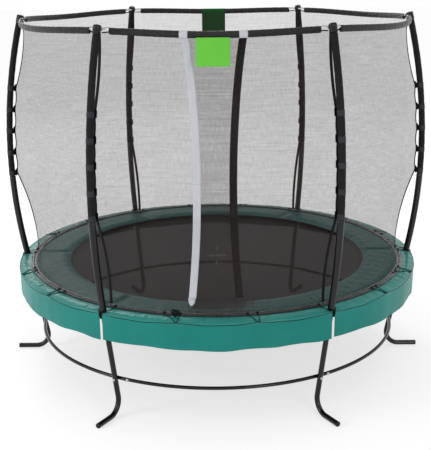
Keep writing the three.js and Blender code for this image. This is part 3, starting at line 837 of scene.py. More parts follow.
@dataclass(frozen=True)
class PostLine:
    """The line that each leg, socket and post follows, in the upright plane of its post."""

    frame_radius: float = 1.513
    frame_height: float = 0.775
    lean: float = math.radians(10.8)
    straight: float = 0.095
    curve_radius: float = 4.0

    @property
    def curve_start(self) -> float:
        """The height at which the curve begins."""
        return self.frame_height + self.straight * math.cos(self.lean)

    def lean_at(self, height: float) -> float:
        """The line's lean from the vertical, outwards, in radians."""
        rise = max(0.0, height - self.curve_start) / self.curve_radius
        return math.asin(math.sin(self.lean) - rise)

    def radius_at(self, height: float) -> float:
        """The line's distance from the middle axis."""
        foot = min(height, self.curve_start)
        bow = self.curve_radius * (math.cos(self.lean_at(height)) - math.cos(self.lean))
        return self.frame_radius + (foot - self.frame_height) * math.tan(self.lean) + bow

    def point(self, height: float) -> np.ndarray:
        """The point of the line at a height."""
        return np.array([self.radius_at(height), 0.0, height])

    def path(self, low: float, high: float, steps: int) -> np.ndarray:
        """Points along the line between two heights."""
        return np.array([self.point(z) for z in np.linspace(low, high, steps + 1)])

    def seat(self, height: float) -> Matrix:
        """The matrix that puts a thing drawn about +Z onto the line."""
        place = Matrix.Translation(Vector(self.point(height)))
        return place @ Matrix.Rotation(self.lean_at(height), 4, "Y")


@dataclass(frozen=True)
class NetShape:
    """The surface that the net hangs in, told by the angle from a bay's middle and the height."""

    line: PostLine = field(default_factory=PostLine)
    bottom: float = 0.8363
    top: float = 2.6485
    hoop_radius: float = 1.439
    hoop_height: float = 2.658
    hoop_sag: float = 0.016
    hem_line: float = 1.4265
    standoff: float = 0.0385
    first_strap: float = 1.475
    last_strap: float = 2.14
    roundness: float = 0.25
    corner_drop: float = 0.008
    layer: float = 0.009
    slack: float = 0.007

    @property
    def straps(self) -> tuple[float, ...]:
        """The heights of the straps on each post."""
        return (self.first_strap, 1.640, 1.810, 1.975, self.last_strap)

    def hoop_at(self, angle: np.ndarray) -> np.ndarray:
        """The hoop's height at an angle from +X."""
        return self.hoop_height - self.hoop_sag / 2 * (1 - np.cos(BAYS * angle))

    def seam_radius(self, height: np.ndarray) -> np.ndarray:
        """The net's distance from the axis where it is sewn, in a post's plane.

        Args:
            height: the heights.

        Returns:
            The distances.
        """
        clamped = np.clip(height, self.first_strap, self.last_strap)
        tied = np.vectorize(self.line.radius_at)(clamped) - self.standoff
        above = (self.top - height) / (self.top - self.last_strap)
        below = (height - self.bottom) / (self.first_strap - self.bottom)
        high = self.hoop_radius + (tied - self.hoop_radius) * above ** 2
        low = self.hem_line + (tied - self.hem_line) * below ** 2
        return np.where(height > self.last_strap, high, np.where(height < self.first_strap, low, tied))

    def points(self, angle: np.ndarray, row: np.ndarray, bay_middle: float = FRONT) -> np.ndarray:
        """Points of the net.

        Args:
            angle: angles from the bay's middle.
            row: nominal heights, which the hoop's droop bends near the top.
            bay_middle: the angle of the bay's middle from +X.

        Returns:
            An array of points.
        """
        share = (row - self.bottom) / (self.top - self.bottom)
        corner = self.corner_drop * (np.abs(angle) / HALF_BAY) ** 8
        droop = self.hoop_height - self.hoop_at(bay_middle + angle) + corner
        height = row - droop * share ** 4
        level = 2 * (height - self.bottom) / (self.top - self.bottom) - 1
        round_share = self.roundness + (1 - self.roundness) * level ** 4
        chord = math.cos(HALF_BAY) / np.cos(angle)
        radius = self.seam_radius(height) * (chord + (1 - chord) * round_share)
        gap = (self.straps[1] - self.first_strap)
        between = np.sin(math.pi * (height - self.first_strap) / gap) ** 2
        tied = (height > self.first_strap) & (height < self.last_strap)
        edge = np.exp(-(HALF_BAY - np.abs(angle)) * radius / 0.12)
        radius = radius - self.slack * between * tied * edge
        return polar(radius, bay_middle + angle, height)


LINE = PostLine()
NET = NetShape()


# Frame, legs and ground ring


@dataclass
class LowerFrame:
    """The round frame, its sockets, the legs, their plugs and the ground ring."""

    palette: Palette
    rail: float = 0.019
    arm: float = 0.022
    arm_half: float = 0.062
    upright: float = 0.022
    socket_half: float = 0.095
    leg: float = 0.019
    bend: float = 0.100
    foot_end: float = 1.632
    ring: float = 0.0125
    ring_radius: float = 1.3877
    ring_height: float = 0.280
    joint_offset: float = 0.062
    bolt_head: float = 0.0088
    plug_steps: tuple[tuple[float, float], ...] = (
        (-0.020, 0.0145), (0.0002, 0.0145), (0.0004, 0.0186), (0.0026, 0.0188),
        (0.0036, 0.0168), (0.004, 0.012),
    )

    def build(self) -> None:
        """Build every bay of the frame."""
        powder, plastic = self.palette.powder, self.palette.plastic
        for number in range(1, BAYS + 1):
            for draft, name, material, slot, node in (
                (self.segment(), "frame_rail", powder, "powder_coat", "frame_segment"),
                (self.leg_tube(), "leg_tube", powder, "powder_coat", "leg"),
                (self.plug(), "foot_cap", plastic, "black_plastic", "foot_plug"),
                (self.ground_ring(), "ground_ring", powder, "powder_coat", "ground_ring_segment"),
            ):
                piece = draft.make(f"{name}_{number}", material, (number - 1) * BAY_ANGLE)
                hold(piece, slot, f"{node}_{number}")
        self.bolts()
        LOG.info("frame, legs, plugs, ground ring and bolts: %d bays", BAYS)

    def arc(self, radius: float, start: float, end: float, height: float, steps: int) -> np.ndarray:
        """Points along a level arc."""
        return polar(radius, np.linspace(start, end, steps + 1), height)

    def segment(self) -> Draft:
        """One rail with the cross-shaped socket at its first end and a weld bead round each arm."""
        radius, height = LINE.frame_radius, LINE.frame_height
        arm = self.arm_half / radius
        draft = Draft()
        rail = self.arc(radius, arm * 0.9, BAY_ANGLE - arm * 0.9, height, 40)
        draft.add_tube(rail, self.rail, UP)
        draft.add_tube(self.arc(radius, -arm, arm, height, 6), self.arm, UP)
        for edge in (-arm, arm):
            draft.add_tube(self.arc(radius, edge * 0.965, edge, height, 2), self.arm * 1.04, UP)
        lean = np.array([math.sin(LINE.lean), 0, math.cos(LINE.lean)])
        along = np.linspace(-self.socket_half, self.socket_half, 5)
        draft.add_tube(LINE.point(height) + along[:, None] * lean, self.upright, ACROSS)
        return draft

    def leg_path(self) -> np.ndarray:
        """The centre line of a leg: down from the socket, round the bend and out along the ground."""
        floor = self.leg
        middle_height = floor + self.bend
        bend_start = middle_height + self.bend * math.sin(LINE.lean)
        middle = LINE.radius_at(bend_start) + self.bend * math.cos(LINE.lean)
        top = LINE.frame_height - 0.025
        points = [LINE.point(z) for z in np.linspace(top, bend_start + 0.02, 6)]
        for angle in np.linspace(-LINE.lean, math.pi / 2, 18):
            points.append(np.array([
                middle - self.bend * math.cos(angle), 0.0, middle_height - self.bend * math.sin(angle)
            ]))
        points.append(np.array([self.foot_end - 0.004, 0.0, floor]))
        points.append(np.array([self.foot_end, 0.0, floor]))
        return np.array(points)

    def leg_tube(self) -> Draft:
        """One leg."""
        draft = Draft()
        draft.add_tube(self.leg_path(), self.leg, ACROSS, sides=28)
        return draft

    def plug(self) -> Draft:
        """The domed plastic plug in the end of a foot."""
        draft = Draft()
        path = np.array([[self.foot_end + out, 0.0, self.leg] for out, _ in self.plug_steps])
        draft.add_tube(path, [radius for _, radius in self.plug_steps], ACROSS, sides=28)
        return draft

    def ground_ring(self) -> Draft:
        """One bent tube of the ground ring, with a swaged lip where the next one plugs in."""
        start = self.joint_offset / self.ring_radius
        path = self.arc(self.ring_radius, start, start + BAY_ANGLE - 0.0012, self.ring_height, 48)
        draft = Draft()
        draft.add_tube(path, self.ring, UP, sides=20)
        lip = self.arc(self.ring_radius, start, start + 0.004, self.ring_height, 2)
        draft.add_tube(lip, self.ring + 0.0007, UP, sides=20)
        return draft

    def bolts(self) -> None:
        """Bolts through each leg and ring, and at each joint of the ring, by Geometry Nodes."""
        tree = GeometryTree("ring_bolts", {"Head": self.bolt_head})
        head = tree.node("GeometryNodeMeshUVSphere", {
            "Segments": 14, "Rings": 7, "Radius": tree.inputs["Head"]
        })
        flat = tree.node("GeometryNodeTransform", {0: head[0], "Scale": (1.0, 1.0, 0.55)})
        washer = tree.node("GeometryNodeMeshCylinder", {
            "Vertices": 18, "Radius": self.bolt_head * 1.25, "Depth": 0.0022
        })
        bolt = tree.join(flat[0], washer[0])
        joint_turn = (self.joint_offset + 0.022) / self.ring_radius
        leg_face = LINE.radius_at(self.ring_height) + self.leg / math.cos(LINE.lean)
        rings = [
            tree.set_round(bolt, BAYS, face - 0.0005, self.ring_height, turn)
            for turn, face in ((0.0, leg_face), (joint_turn, self.ring_radius + self.ring))
        ]
        hold(tree.finish(tree.join(*rings), "ring_bolts", self.palette.zinc), "spring_steel")


class GeometryTree(Nodes):
    """A Geometry Nodes tree with named number inputs, made into a plain mesh at the end."""

    def __init__(self, name: str, sizes: dict[str, float]) -> None:
        """Make the tree and its named inputs.

        Args:
            name: the tree's name.
            sizes: the value of each named input.
        """
        self.tree = bpy.data.node_groups.new(name, "GeometryNodeTree")
        self.sizes = sizes
        self.tree.interface.new_socket("Geometry", in_out="OUTPUT", socket_type="NodeSocketGeometry")
        for key in sizes:
            self.tree.interface.new_socket(key, in_out="INPUT", socket_type="NodeSocketFloat")
        entry = self.tree.nodes.new("NodeGroupInput")
        self.inputs = {key: entry.outputs[key] for key in sizes}

    def join(self, *parts: bpy.types.NodeSocket) -> bpy.types.NodeSocket:
        """Join several geometries.

        Args:
            parts: the geometries.

        Returns:
            All of them as one.
        """
        made = self.tree.nodes.new("GeometryNodeJoinGeometry")
        for part in parts:
            self.tree.links.new(part, made.inputs[0])
        return made.outputs[0]

    def set_round(
        self, instance: bpy.types.NodeSocket, count: int, radius: float, height: float, turn: float
    ) -> bpy.types.NodeSocket:
        """Set copies round a level circle, each with its Z outwards.

        Args:
            instance: the geometry to copy.
            count: how many.
            radius: the circle's radius.
            height: its height.
            turn: the angle of the first from +X.

        Returns:
            The copies.
        """
        circle = self.node("GeometryNodeMeshCircle", {"Vertices": count, "Radius": radius})
        placed = self.node("GeometryNodeTransform", {
            0: circle[0], "Translation": (0, 0, height), "Rotation": (0, 0, turn)
        })
        position = self.node("GeometryNodeInputPosition", {})
        split = self.node("ShaderNodeSeparateXYZ", {0: position[0]})
        outward = self.node("ShaderNodeCombineXYZ", {0: split[0], 1: split[1]})
        aim = self.node("FunctionNodeAlignRotationToVector", {"Vector": outward[0]}, axis="Z")
        return self.node("GeometryNodeInstanceOnPoints", {
            "Points": placed[0], "Instance": instance, "Rotation": aim[0]
        })[0]

    def finish(
        self, result: bpy.types.NodeSocket, name: str, material: bpy.types.Material
    ) -> bpy.types.Object:
        """End the tree and turn it into a plain mesh.

        Args:
            result: the geometry.
            name: the piece's name.
            material: its finish.

        Returns:
            The piece.
        """
        real = self.node("GeometryNodeRealizeInstances", {0: result})
        finish = self.node("GeometryNodeSetMaterial", {0: real[0], "Material": material})
        leave = self.tree.nodes.new("NodeGroupOutput")
        self.tree.links.new(finish[0], leave.inputs[0])
        host = add_object(name + "_host", bpy.data.meshes.new(name + "_host"))
        modifier = host.modifiers.new("nodes", "NODES")
        modifier.node_group = self.tree
        for item in self.tree.interface.items_tree:
            if item.in_out == "INPUT":
                modifier[item.identifier] = self.sizes[item.name]
        mesh = made_real(host)
        mesh.name = name
        bpy.data.objects.remove(host)
        tidy(mesh)
        return dress(mesh, name, material)


# Posts


@dataclass
class Posts:
    """The curved posts, their cloth sleeves with strap bands, and the caps."""

    palette: Palette
    tube: float = 0.0240
    neck: float = 0.020
    sleeve: float = 0.0245
    bottom: float = 0.8005
    sleeve_low: float = 1.450
    sleeve_high: float = 2.6274
    top: float = 2.662
    strap_width: float = 0.038
    band: float = 0.0016
    pad_width: float = 0.050
    pad_height: float = 0.052
    pad_depth: float = 0.004
    cap: float = 0.0268
    cap_skirt: float = 0.034
    cap_crown: float = 0.024
    eye_width: float = 0.034
    eye_steps: tuple[tuple[float, float], ...] = (
        (-1, 0.0105), (-0.8, 0.0122), (0.8, 0.0122), (1, 0.0105), (1, 0.0066), (-1, 0.0066),
        (-1, 0.0105),
    )

    def build(self) -> None:
        """Build every post."""
        looks = self.palette
        for bay in range(BAYS):
            for draft, name, material, slot, node in (
                (self.lower(), "post_tube", looks.powder, "powder_coat", "post"),
                (self.cloth(bay), "post_cloth", looks.sleeve, "sleeve_fabric", "post_sleeve"),
                (self.bands(), "strap_bands", looks.bands, "sleeve_fabric", None),
                (self.strap_pads(), "strap_pads", looks.strap_pad, "dark_webbing", None),
                (self.crown(), "post_crown", looks.plastic, "black_plastic", "post_cap"),
            ):
                piece = draft.make(f"{name}_{bay + 1}", material, bay * BAY_ANGLE)
                hold(piece, slot, *([f"{node}_{bay + 1}"] if node else []))
        LOG.info("posts, sleeves, strap bands and caps: %d of each", BAYS)

    def lower(self) -> Draft:
        """The wide lower tube with its rounded shoulder, and the neck inside the sleeve."""
        draft = Draft()
        shoulder = self.sleeve_low - 0.0003
        wide = LINE.path(self.bottom, shoulder - 0.004, 26)
        path = np.concatenate([wide, [LINE.point(shoulder)]])
        draft.add_tube(path, [self.tube] * len(wide) + [self.tube - 0.0016], ACROSS, sides=32)
        neck = LINE.path(shoulder - 0.001, self.top, 30)
        draft.add_tube(neck, self.neck - 0.0006, ACROSS, sides=20)
        return draft

    def cloth(self, bay: int) -> Draft:
        """The padded sleeve: drawn in at each strap, fuller between, with small puckers.

        Args:
            bay: which post, which shifts the puckers.

        Returns:
            The sleeve.
        """
        draft = Draft()
        path = LINE.path(self.sleeve_low, self.sleeve_high, 150)
        heights = path[:, 2]
        radii = np.full(len(path), self.sleeve - 0.0008)
        for strap in NET.straps:
            radii -= 0.0011 * np.exp(-(((heights - strap) / 0.024) ** 2))
        radii += 0.0006 * np.sin(heights * 71 + bay) * np.sin(heights * 23 + 2 * bay)
        radii[[0, -1]] -= 0.002
        draft.add_tube(path, radii, ACROSS, sides=36)
        return draft

    def bands(self) -> Draft:
        """A webbing band round the sleeve at each strap."""
        draft = Draft()
        half = self.strap_width / 2
        inner = self.sleeve - 0.0012
        outer = inner + self.band
        for height in NET.straps:
            band = Draft()
            band.add_lathe([
                (inner, -half), (outer, -half), (outer + 0.0003, 0.0), (outer, half),
                (inner, half), (inner, -half),
            ], 40)
            band.uvs = [(math.atan2(p[1], p[0]) * outer, p[2]) for p in band.points]
            draft.absorb(band.moved(LINE.seat(height)))
        return draft

    def strap_pads(self) -> Draft:
        """The flat pads sewn to the net at each strap, and the short straps out to the sleeve."""
        draft = Draft()
        net_face = -NET.standoff + 0.0015
        strap = -self.sleeve + 0.001 - net_face
        for height in NET.straps:
            pad = Draft()
            pad.add_plate(
                (net_face + self.pad_depth / 2, 0.0, 0.006),
                (self.pad_depth, self.pad_width, self.pad_height), 0.006,
            )
            pad.add_plate((net_face + strap / 2, 0.0, 0.0), (strap, 0.012, self.strap_width), 0.002)
            draft.absorb(pad.moved(LINE.seat(height)))
        return draft

    def crown(self) -> Draft:
        """The domed cap with the eye that the hoop passes through."""
        draft = Draft()
        edge = 0.010
        dome = [
            (self.cap - edge + edge * math.cos(a), self.cap_crown - edge + edge * math.sin(a))
            for a in np.linspace(0, math.pi / 2, 8)
        ]
        bore = self.neck + 0.0004
        outline = [
            (0.0, 0.0003), (bore, 0.0003), (bore, -self.cap_skirt), (self.cap - 0.001, -self.cap_skirt),
            (self.cap, -self.cap_skirt + 0.001), (self.cap, -0.004), (self.cap - 0.0008, -0.002),
            (self.cap, 0.0), *dome, (0.0, self.cap_crown),
        ]
        draft.add_lathe(outline, 48)
        draft.moved(LINE.seat(self.top))
        turns = np.linspace(0, 2 * math.pi, 21)[None, :-1]
        y, r = np.array(self.eye_steps).T[..., None]
        draft.add_grid(np.stack(np.broadcast_arrays(
            NET.hoop_radius + r * np.cos(turns), y * self.eye_width / 2,
            NET.hoop_height + r * np.sin(turns),
        ), -1), wrap=True)
        bridge = np.array([
            [NET.hoop_radius + 0.009, 0, NET.hoop_height],
            [LINE.radius_at(NET.hoop_height) - self.cap + 0.004, 0, NET.hoop_height],
        ])
        draft.add_tube(bridge, 0.009, UP, sides=16)
        return draft


# Hoop, net and entrance


@dataclass
class Hoop:
    """The rod at the top, its ferrules, and the cloth tunnel that covers it in each bay."""

    palette: Palette
    rod: float = 0.006
    ferrule: float = 0.0078
    tunnel_gap: float = 0.075
    tunnel_height: float = 0.042
    tunnel_drop: float = 0.0105
    tunnel_width: float = 0.019
    tunnel_cloth: float = 0.0012
    wrap_width: float = 0.052
    wrap_places: tuple[float, float] = (-0.192, 0.172)

    def build(self) -> None:
        """Build the rod, the ferrules, the tunnels and what lies beside and over them."""
        turns = np.linspace(0, 2 * math.pi, 361)[:-1]
        draft = Draft()
        draft.add_tube(self.line(turns), self.rod, UP, sides=14, closed=True)
        hold(draft.make("hoop_rod", self.palette.rod), "hoop_rod", "top_hoop")
        ferrules = Draft()
        for joint in np.arange(BAYS) * BAY_ANGLE + BAY_ANGLE / 6:
            span = self.line(np.linspace(joint - 0.031, joint + 0.031, 5))
            ferrules.add_tube(span, self.ferrule, UP, sides=14)
        hold(ferrules.make("hoop_ferrules", self.palette.zinc), "spring_steel")
        for bay in range(BAYS):
            self.tunnel(bay)
        self.corner_webbing()
        self.wraps()
        LOG.info("hoop rod, ferrules, %d tunnels, corner webbing and wraps", BAYS)

    def corner_webbing(self) -> None:
        """The thin black tapes that run below and above the bare rod, from tunnel to cap."""
        draft = Draft()
        start, end = 0.020 / NET.hoop_radius, (self.tunnel_gap + 0.006) / NET.hoop_radius
        for post in range(BAYS):
            for side in (-1, 1):
                turns = post * BAY_ANGLE + side * np.linspace(start, end, 9)
                for drop, thick in ((-0.0185, 0.0042), (0.0088, 0.0016)):
                    path = self.line(turns)
                    path[:, 2] += drop + 0.0015 * np.sin(np.linspace(0, 5, 9) + post)
                    draft.add_tube(path, thick, UP, sides=10, stretch=0.5)
        hold(draft.make("corner_webbing", self.palette.cord), "dark_webbing")

    def wraps(self) -> None:
        """The pale bands over the tunnel from which the entrance webbing hangs."""
        draft = Draft()
        for place in self.wrap_places:
            middle = FRONT + place / NET.hoop_radius
            half = self.wrap_width / 2 / NET.hoop_radius
            path = self.line(np.linspace(middle - half, middle + half, 7), self.tunnel_drop)
            draft.add_tube(path, self.tunnel_height / 2 * 1.09, UP, sides=28, capped=False,
                           stretch=self.tunnel_width / self.tunnel_height * 1.06)
        piece = draft.make("tunnel_wraps", self.palette.reflective)
        thicken(piece, self.tunnel_cloth)
        hold(piece, "pale_webbing")

    def line(self, turns: np.ndarray, drop: float = 0.0) -> np.ndarray:
        """The rod's centre line, or a line below it."""
        return polar(NET.hoop_radius, turns, NET.hoop_at(turns) - drop)

    def tunnel(self, bay: int) -> None:
        """The puckered cloth tunnel of one bay, which also takes in the net's top edge.

        Args:
            bay: which bay.
        """
        gap = self.tunnel_gap / NET.hoop_radius
        turns = np.linspace(gap, BAY_ANGLE - gap, 161)
        path = self.line(turns, self.tunnel_drop)
        draft = Draft()
        radii = self.tunnel_height / 2 * (1 + 0.03 * np.sin(turns * 190 + bay) * np.sin(turns * 67))
        radii[[0, -1]] *= 0.9
        draft.add_tube(path, radii, UP, sides=20,
                       stretch=self.tunnel_width / self.tunnel_height, capped=False)
        piece = draft.make(f"hoop_tunnel_{bay + 1}", self.palette.tunnel, bay * BAY_ANGLE)
        thicken(piece, self.tunnel_cloth)
        hold(piece, "net_mesh")


@dataclass
class Enclosure:
    """The net panels, the seam webbing, the hem and the cord ties with their knots."""

    palette: Palette
    pad_top_at: Callable[[float, float], float]
    seam_gap: float = 0.001
    columns: int = 48
    rows: int = 110
    tape: float = 0.022
    tape_lift: float = 0.0016
    tape_thickness: float = 0.0014
    hem_radius: float = HEM_RADIUS
    hem_half: float = 0.0232
    hem_low: float = reach("net_hem", high=False)
    hem_high: float = reach("net_hem")
    tie_radius: float = 1.5545
    tie_count: int = 18
    tie_angle: float = math.radians(20)
    tie_spreads: tuple[tuple[float, float], ...] = (
        (0.030, 0.026), (0.098, 0.008), (0.052, 0.014), (0.012, 0.060),
    )
    cord: float = 0.0026
    knot: float = 0.0095
    bow: float = 0.027
    bow_place: float = math.radians(259.3)

    def build(self) -> None:
        """Build the closed bays, the webbing, the hem, its ties and their knots."""
        for bay in range(1, BAYS):
            self.panel(bay)
        for bay in range(BAYS):
            self.seam_tape(bay)
        self.hem()
        self.ties()
        self.knots()
        LOG.info("net panels, seam webbing, hem, %d ties and their knots", self.tie_count)

    def panel(self, bay: int) -> None:
        """One closed bay of net.

        Args:
            bay: which bay, counted from the entrance.
        """
        half = HALF_BAY - self.seam_gap / NET.hoop_radius
        angle, row = np.meshgrid(
            np.linspace(-half, half, self.columns + 1), np.linspace(NET.bottom, NET.top, self.rows + 1)
        )
        grid = self.waved(NET.points(angle, row, FRONT + bay * BAY_ANGLE), angle, row, bay)
        hang_cloth(f"net_bay_{bay}", grid, self.palette.net, "net_mesh", f"net_panel_{bay}")

    def waved(self, grid: np.ndarray, angle: np.ndarray, row: np.ndarray, bay: int) -> np.ndarray:
        """Soft billows that fade out at every edge of the panel.

        Args:
            grid: the panel's points.
            angle: their angles from the bay's middle.
            row: their nominal heights.
            bay: which bay, which shifts the billows.

        Returns:
            The points with the billows.
        """
        across = np.cos(angle / HALF_BAY * math.pi / 2) ** 0.6
        up = np.sin(math.pi * np.clip((row - NET.bottom) / (NET.top - NET.bottom), 0, 1)) ** 0.6
        return pushed_out(grid, ripple(grid, 0.9, 0.006, bay) * across * up)

    def seam_tape(self, bay: int) -> None:
        """The webbing sewn over a seam, folded along it as the net is.

        Args:
            bay: which post it runs up.
        """
        rows = np.linspace(NET.bottom + 0.002, NET.top - 0.004, 150)
        reach_out = np.linspace(0, self.tape / 2, 4)
        angle, row = np.meshgrid(reach_out / NET.hoop_radius - HALF_BAY, rows)
        half = pushed_out(NET.points(angle, row, HALF_BAY), self.tape_lift)
        grid = np.concatenate([half[:, :0:-1] * np.array([1.0, -1.0, 1.0]), half], 1)
        draft = Draft()
        draft.add_grid(grid, uv=cloth_uv(grid))
        piece = draft.make(f"seam_webbing_{bay + 1}", self.palette.webbing, bay * BAY_ANGLE)
        thicken(piece, self.tape_thickness)
        hold(piece, "dark_webbing")

    def hem(self) -> None:
        """The glossy hem that lies on the pad: two gathered rolls with a stitched groove."""
        turns = np.linspace(0, 2 * math.pi, 1081)[:-1]
        across = np.linspace(-self.hem_half, self.hem_half, 23)
        inner = np.exp(-(((across + 0.0105) / 0.0100) ** 4))
        outer = np.exp(-(((across - 0.0125) / 0.0080) ** 4))
        folds = (1 + np.sin(turns * 300 + 2 * np.sin(turns * 37))) / 2
        patches = (1 + np.sin(turns * 41 + 1)) / 2
        gather = (folds * patches)[:, None]
        small = ((1 + np.sin(turns * 211 + 3 * np.sin(turns * 19))) / 2)[:, None]
        rolls = np.maximum(inner[None, :] * (1 - 0.45 * gather), outer[None, :] * (0.86 - 0.22 * small))
        rise = self.hem_high - self.hem_low
        top = self.hem_low + rise * (0.22 + 0.78 * rolls)
        drift = 0.0022 * np.sin(turns * 54) * np.sin(turns * 13)
        radius = self.hem_radius + across[None, :] + drift[:, None]
        under = self.hem_radius + across[::-1][None, ::2] + drift[:, None]
        radius = np.concatenate([radius, under], 1)
        height = np.concatenate([top, np.full_like(under, self.hem_low + 0.0002)], 1)
        grid = polar(radius, turns[:, None], height)
        grid = np.concatenate([grid, grid[:1]])
        draft = Draft()
        draft.add_grid(grid, wrap=True)
        hold(draft.make("hem_band", self.palette.hem), "hem_vinyl", "net_hem")

    def tie_plan(self, index: int) -> np.ndarray:
        """The plan of a tie: out from the hem, round its hook at the pad's edge and back.

        Args:
            index: which tie, from +X.

        Returns:
            Rows of radius, distance to the side and, past the pad's edge, height or zero.
        """
        hem, rim = self.hem_radius + 0.013, self.tie_radius
        if index % 3 == 0:
            left = right = [
                (hem, 0.046, 0), (1.492, 0.042, 0), (1.526, 0.036, 0), (1.545, 0.022, 0),
                (rim, 0.0095, 0), (rim + 0.001, 0.0085, 0.803), (rim + 0.001, 0.0078, 0.790),
            ]
            far = [(rim + 0.001, 0.0, 0.784)]
        else:
            spreads = self.tie_spreads[index % len(self.tie_spreads)]
            left, right = (
                [(hem, spread, 0), (hem + 0.03, 0.0085 + (spread - 0.0085) * 0.7, 0),
                 (rim - 0.014, 0.0085, 0), (rim - 0.004, 0.0075, 0)]
                for spread in spreads
            )
            far = [(rim, 0.0, 0)]
        mirrored = [(r, -side, z) for r, side, z in left]
        return np.array([*mirrored, *far, *right[::-1]], float)

    def ties(self) -> None:
        """Elastic cords from the hem over the pad's edge, every 20 degrees."""
        for index in range(self.tie_count):
            radius, side, given = smooth_path(self.tie_plan(index), 64).T
            path = polar(radius, self.tie_angle * index + side / radius, 0.0)
            rest = np.array([self.pad_top_at(x, y) for x, y, _ in path]) + self.cord
            rest = np.where(radius < self.hem_radius + self.hem_half + 0.002,
                            self.hem_high + self.cord * 0.6, rest)
            rest = np.where(radius > self.tie_radius - 0.001, np.minimum(rest, 0.8175), rest)
            hanging = np.interp(given, [0.4, 0.784, 0.803, 0.82], [0.81, 0.784, 0.803, 0.814])
            rest = np.where(given > 0.4, hanging, rest)
            padded = np.concatenate([[rest[0]] * 3, rest, [rest[-1]] * 3])
            path[:, 2] = np.convolve(padded, np.ones(7) / 7, "valid")
            draft = Draft()
            draft.add_tube(path, self.cord, (0.13, 0.21, 0.97), sides=8)
            piece = draft.make(f"hem_tie_{index + 1:02d}", self.palette.cord)
            hold(piece, "dark_webbing")
            2 * self.cord

    def knots(self) -> None:
        """A tight knot where each cord leaves the hem, and one loose bow by the entrance."""
        turn = np.linspace(0, 2 * math.pi, 49)[:-1]
        shape = np.stack([
            np.sin(turn) + 2 * np.sin(2 * turn), np.cos(turn) - 2 * np.cos(2 * turn),
            -np.sin(3 * turn),
        ], -1) / 3
        draft = Draft()
        for index in range(self.tie_count):
            plan = self.tie_plan(index)
            for radius, side, _ in (plan[0], plan[-1]):
                place = self.tie_angle * index + side / radius
                centre = np.array([radius - 0.004, 0, self.hem_high + self.cord])
                knot = turned(shape * self.knot + centre, place)
                draft.add_tube(knot, self.cord, (0.1, 0.2, 0.97), sides=6, closed=True)
        stand = self.hem_radius + self.hem_half + 0.012
        for lean, size in ((0.0, 1.0), (1.1, 0.72), (2.3, 0.86)):
            loop = np.stack([
                shape[:, 2] * 0.6,
                shape[:, 0] * math.cos(lean) - shape[:, 1] * math.sin(lean),
                shape[:, 0] * math.sin(lean) + shape[:, 1] * math.cos(lean),
            ], -1) * self.bow * size + np.array([stand + 0.004 * lean, 0, self.hem_high + 0.016])
            loop = turned(loop, self.bow_place)
            draft.add_tube(loop, self.cord * 1.25, (0.3, 0.95, 0.1), sides=8, closed=True)
        hold(draft.make("tie_knots", self.palette.cord), "dark_webbing")


def smooth_path(points: np.ndarray, count: int) -> np.ndarray:
    """An even, rounded line through a few points.

    Args:
        points: the rough line.
        count: how many points the result has.

    Returns:
        The smooth line, with the same ends.
    """
    line = points.copy()
    for _ in range(3):
        quarter = 0.75 * line[:-1] + 0.25 * line[1:]
        three = 0.25 * line[:-1] + 0.75 * line[1:]
        line = np.concatenate([line[:1], np.stack([quarter, three], 1).reshape(-1, 3), line[-1:]])
    along = np.r_[0, np.cumsum(np.linalg.norm(np.diff(line, axis=0), axis=1))]
    at = np.linspace(0, along[-1], count)
    return np.stack([np.interp(at, along, line[:, k]) for k in range(3)], -1)


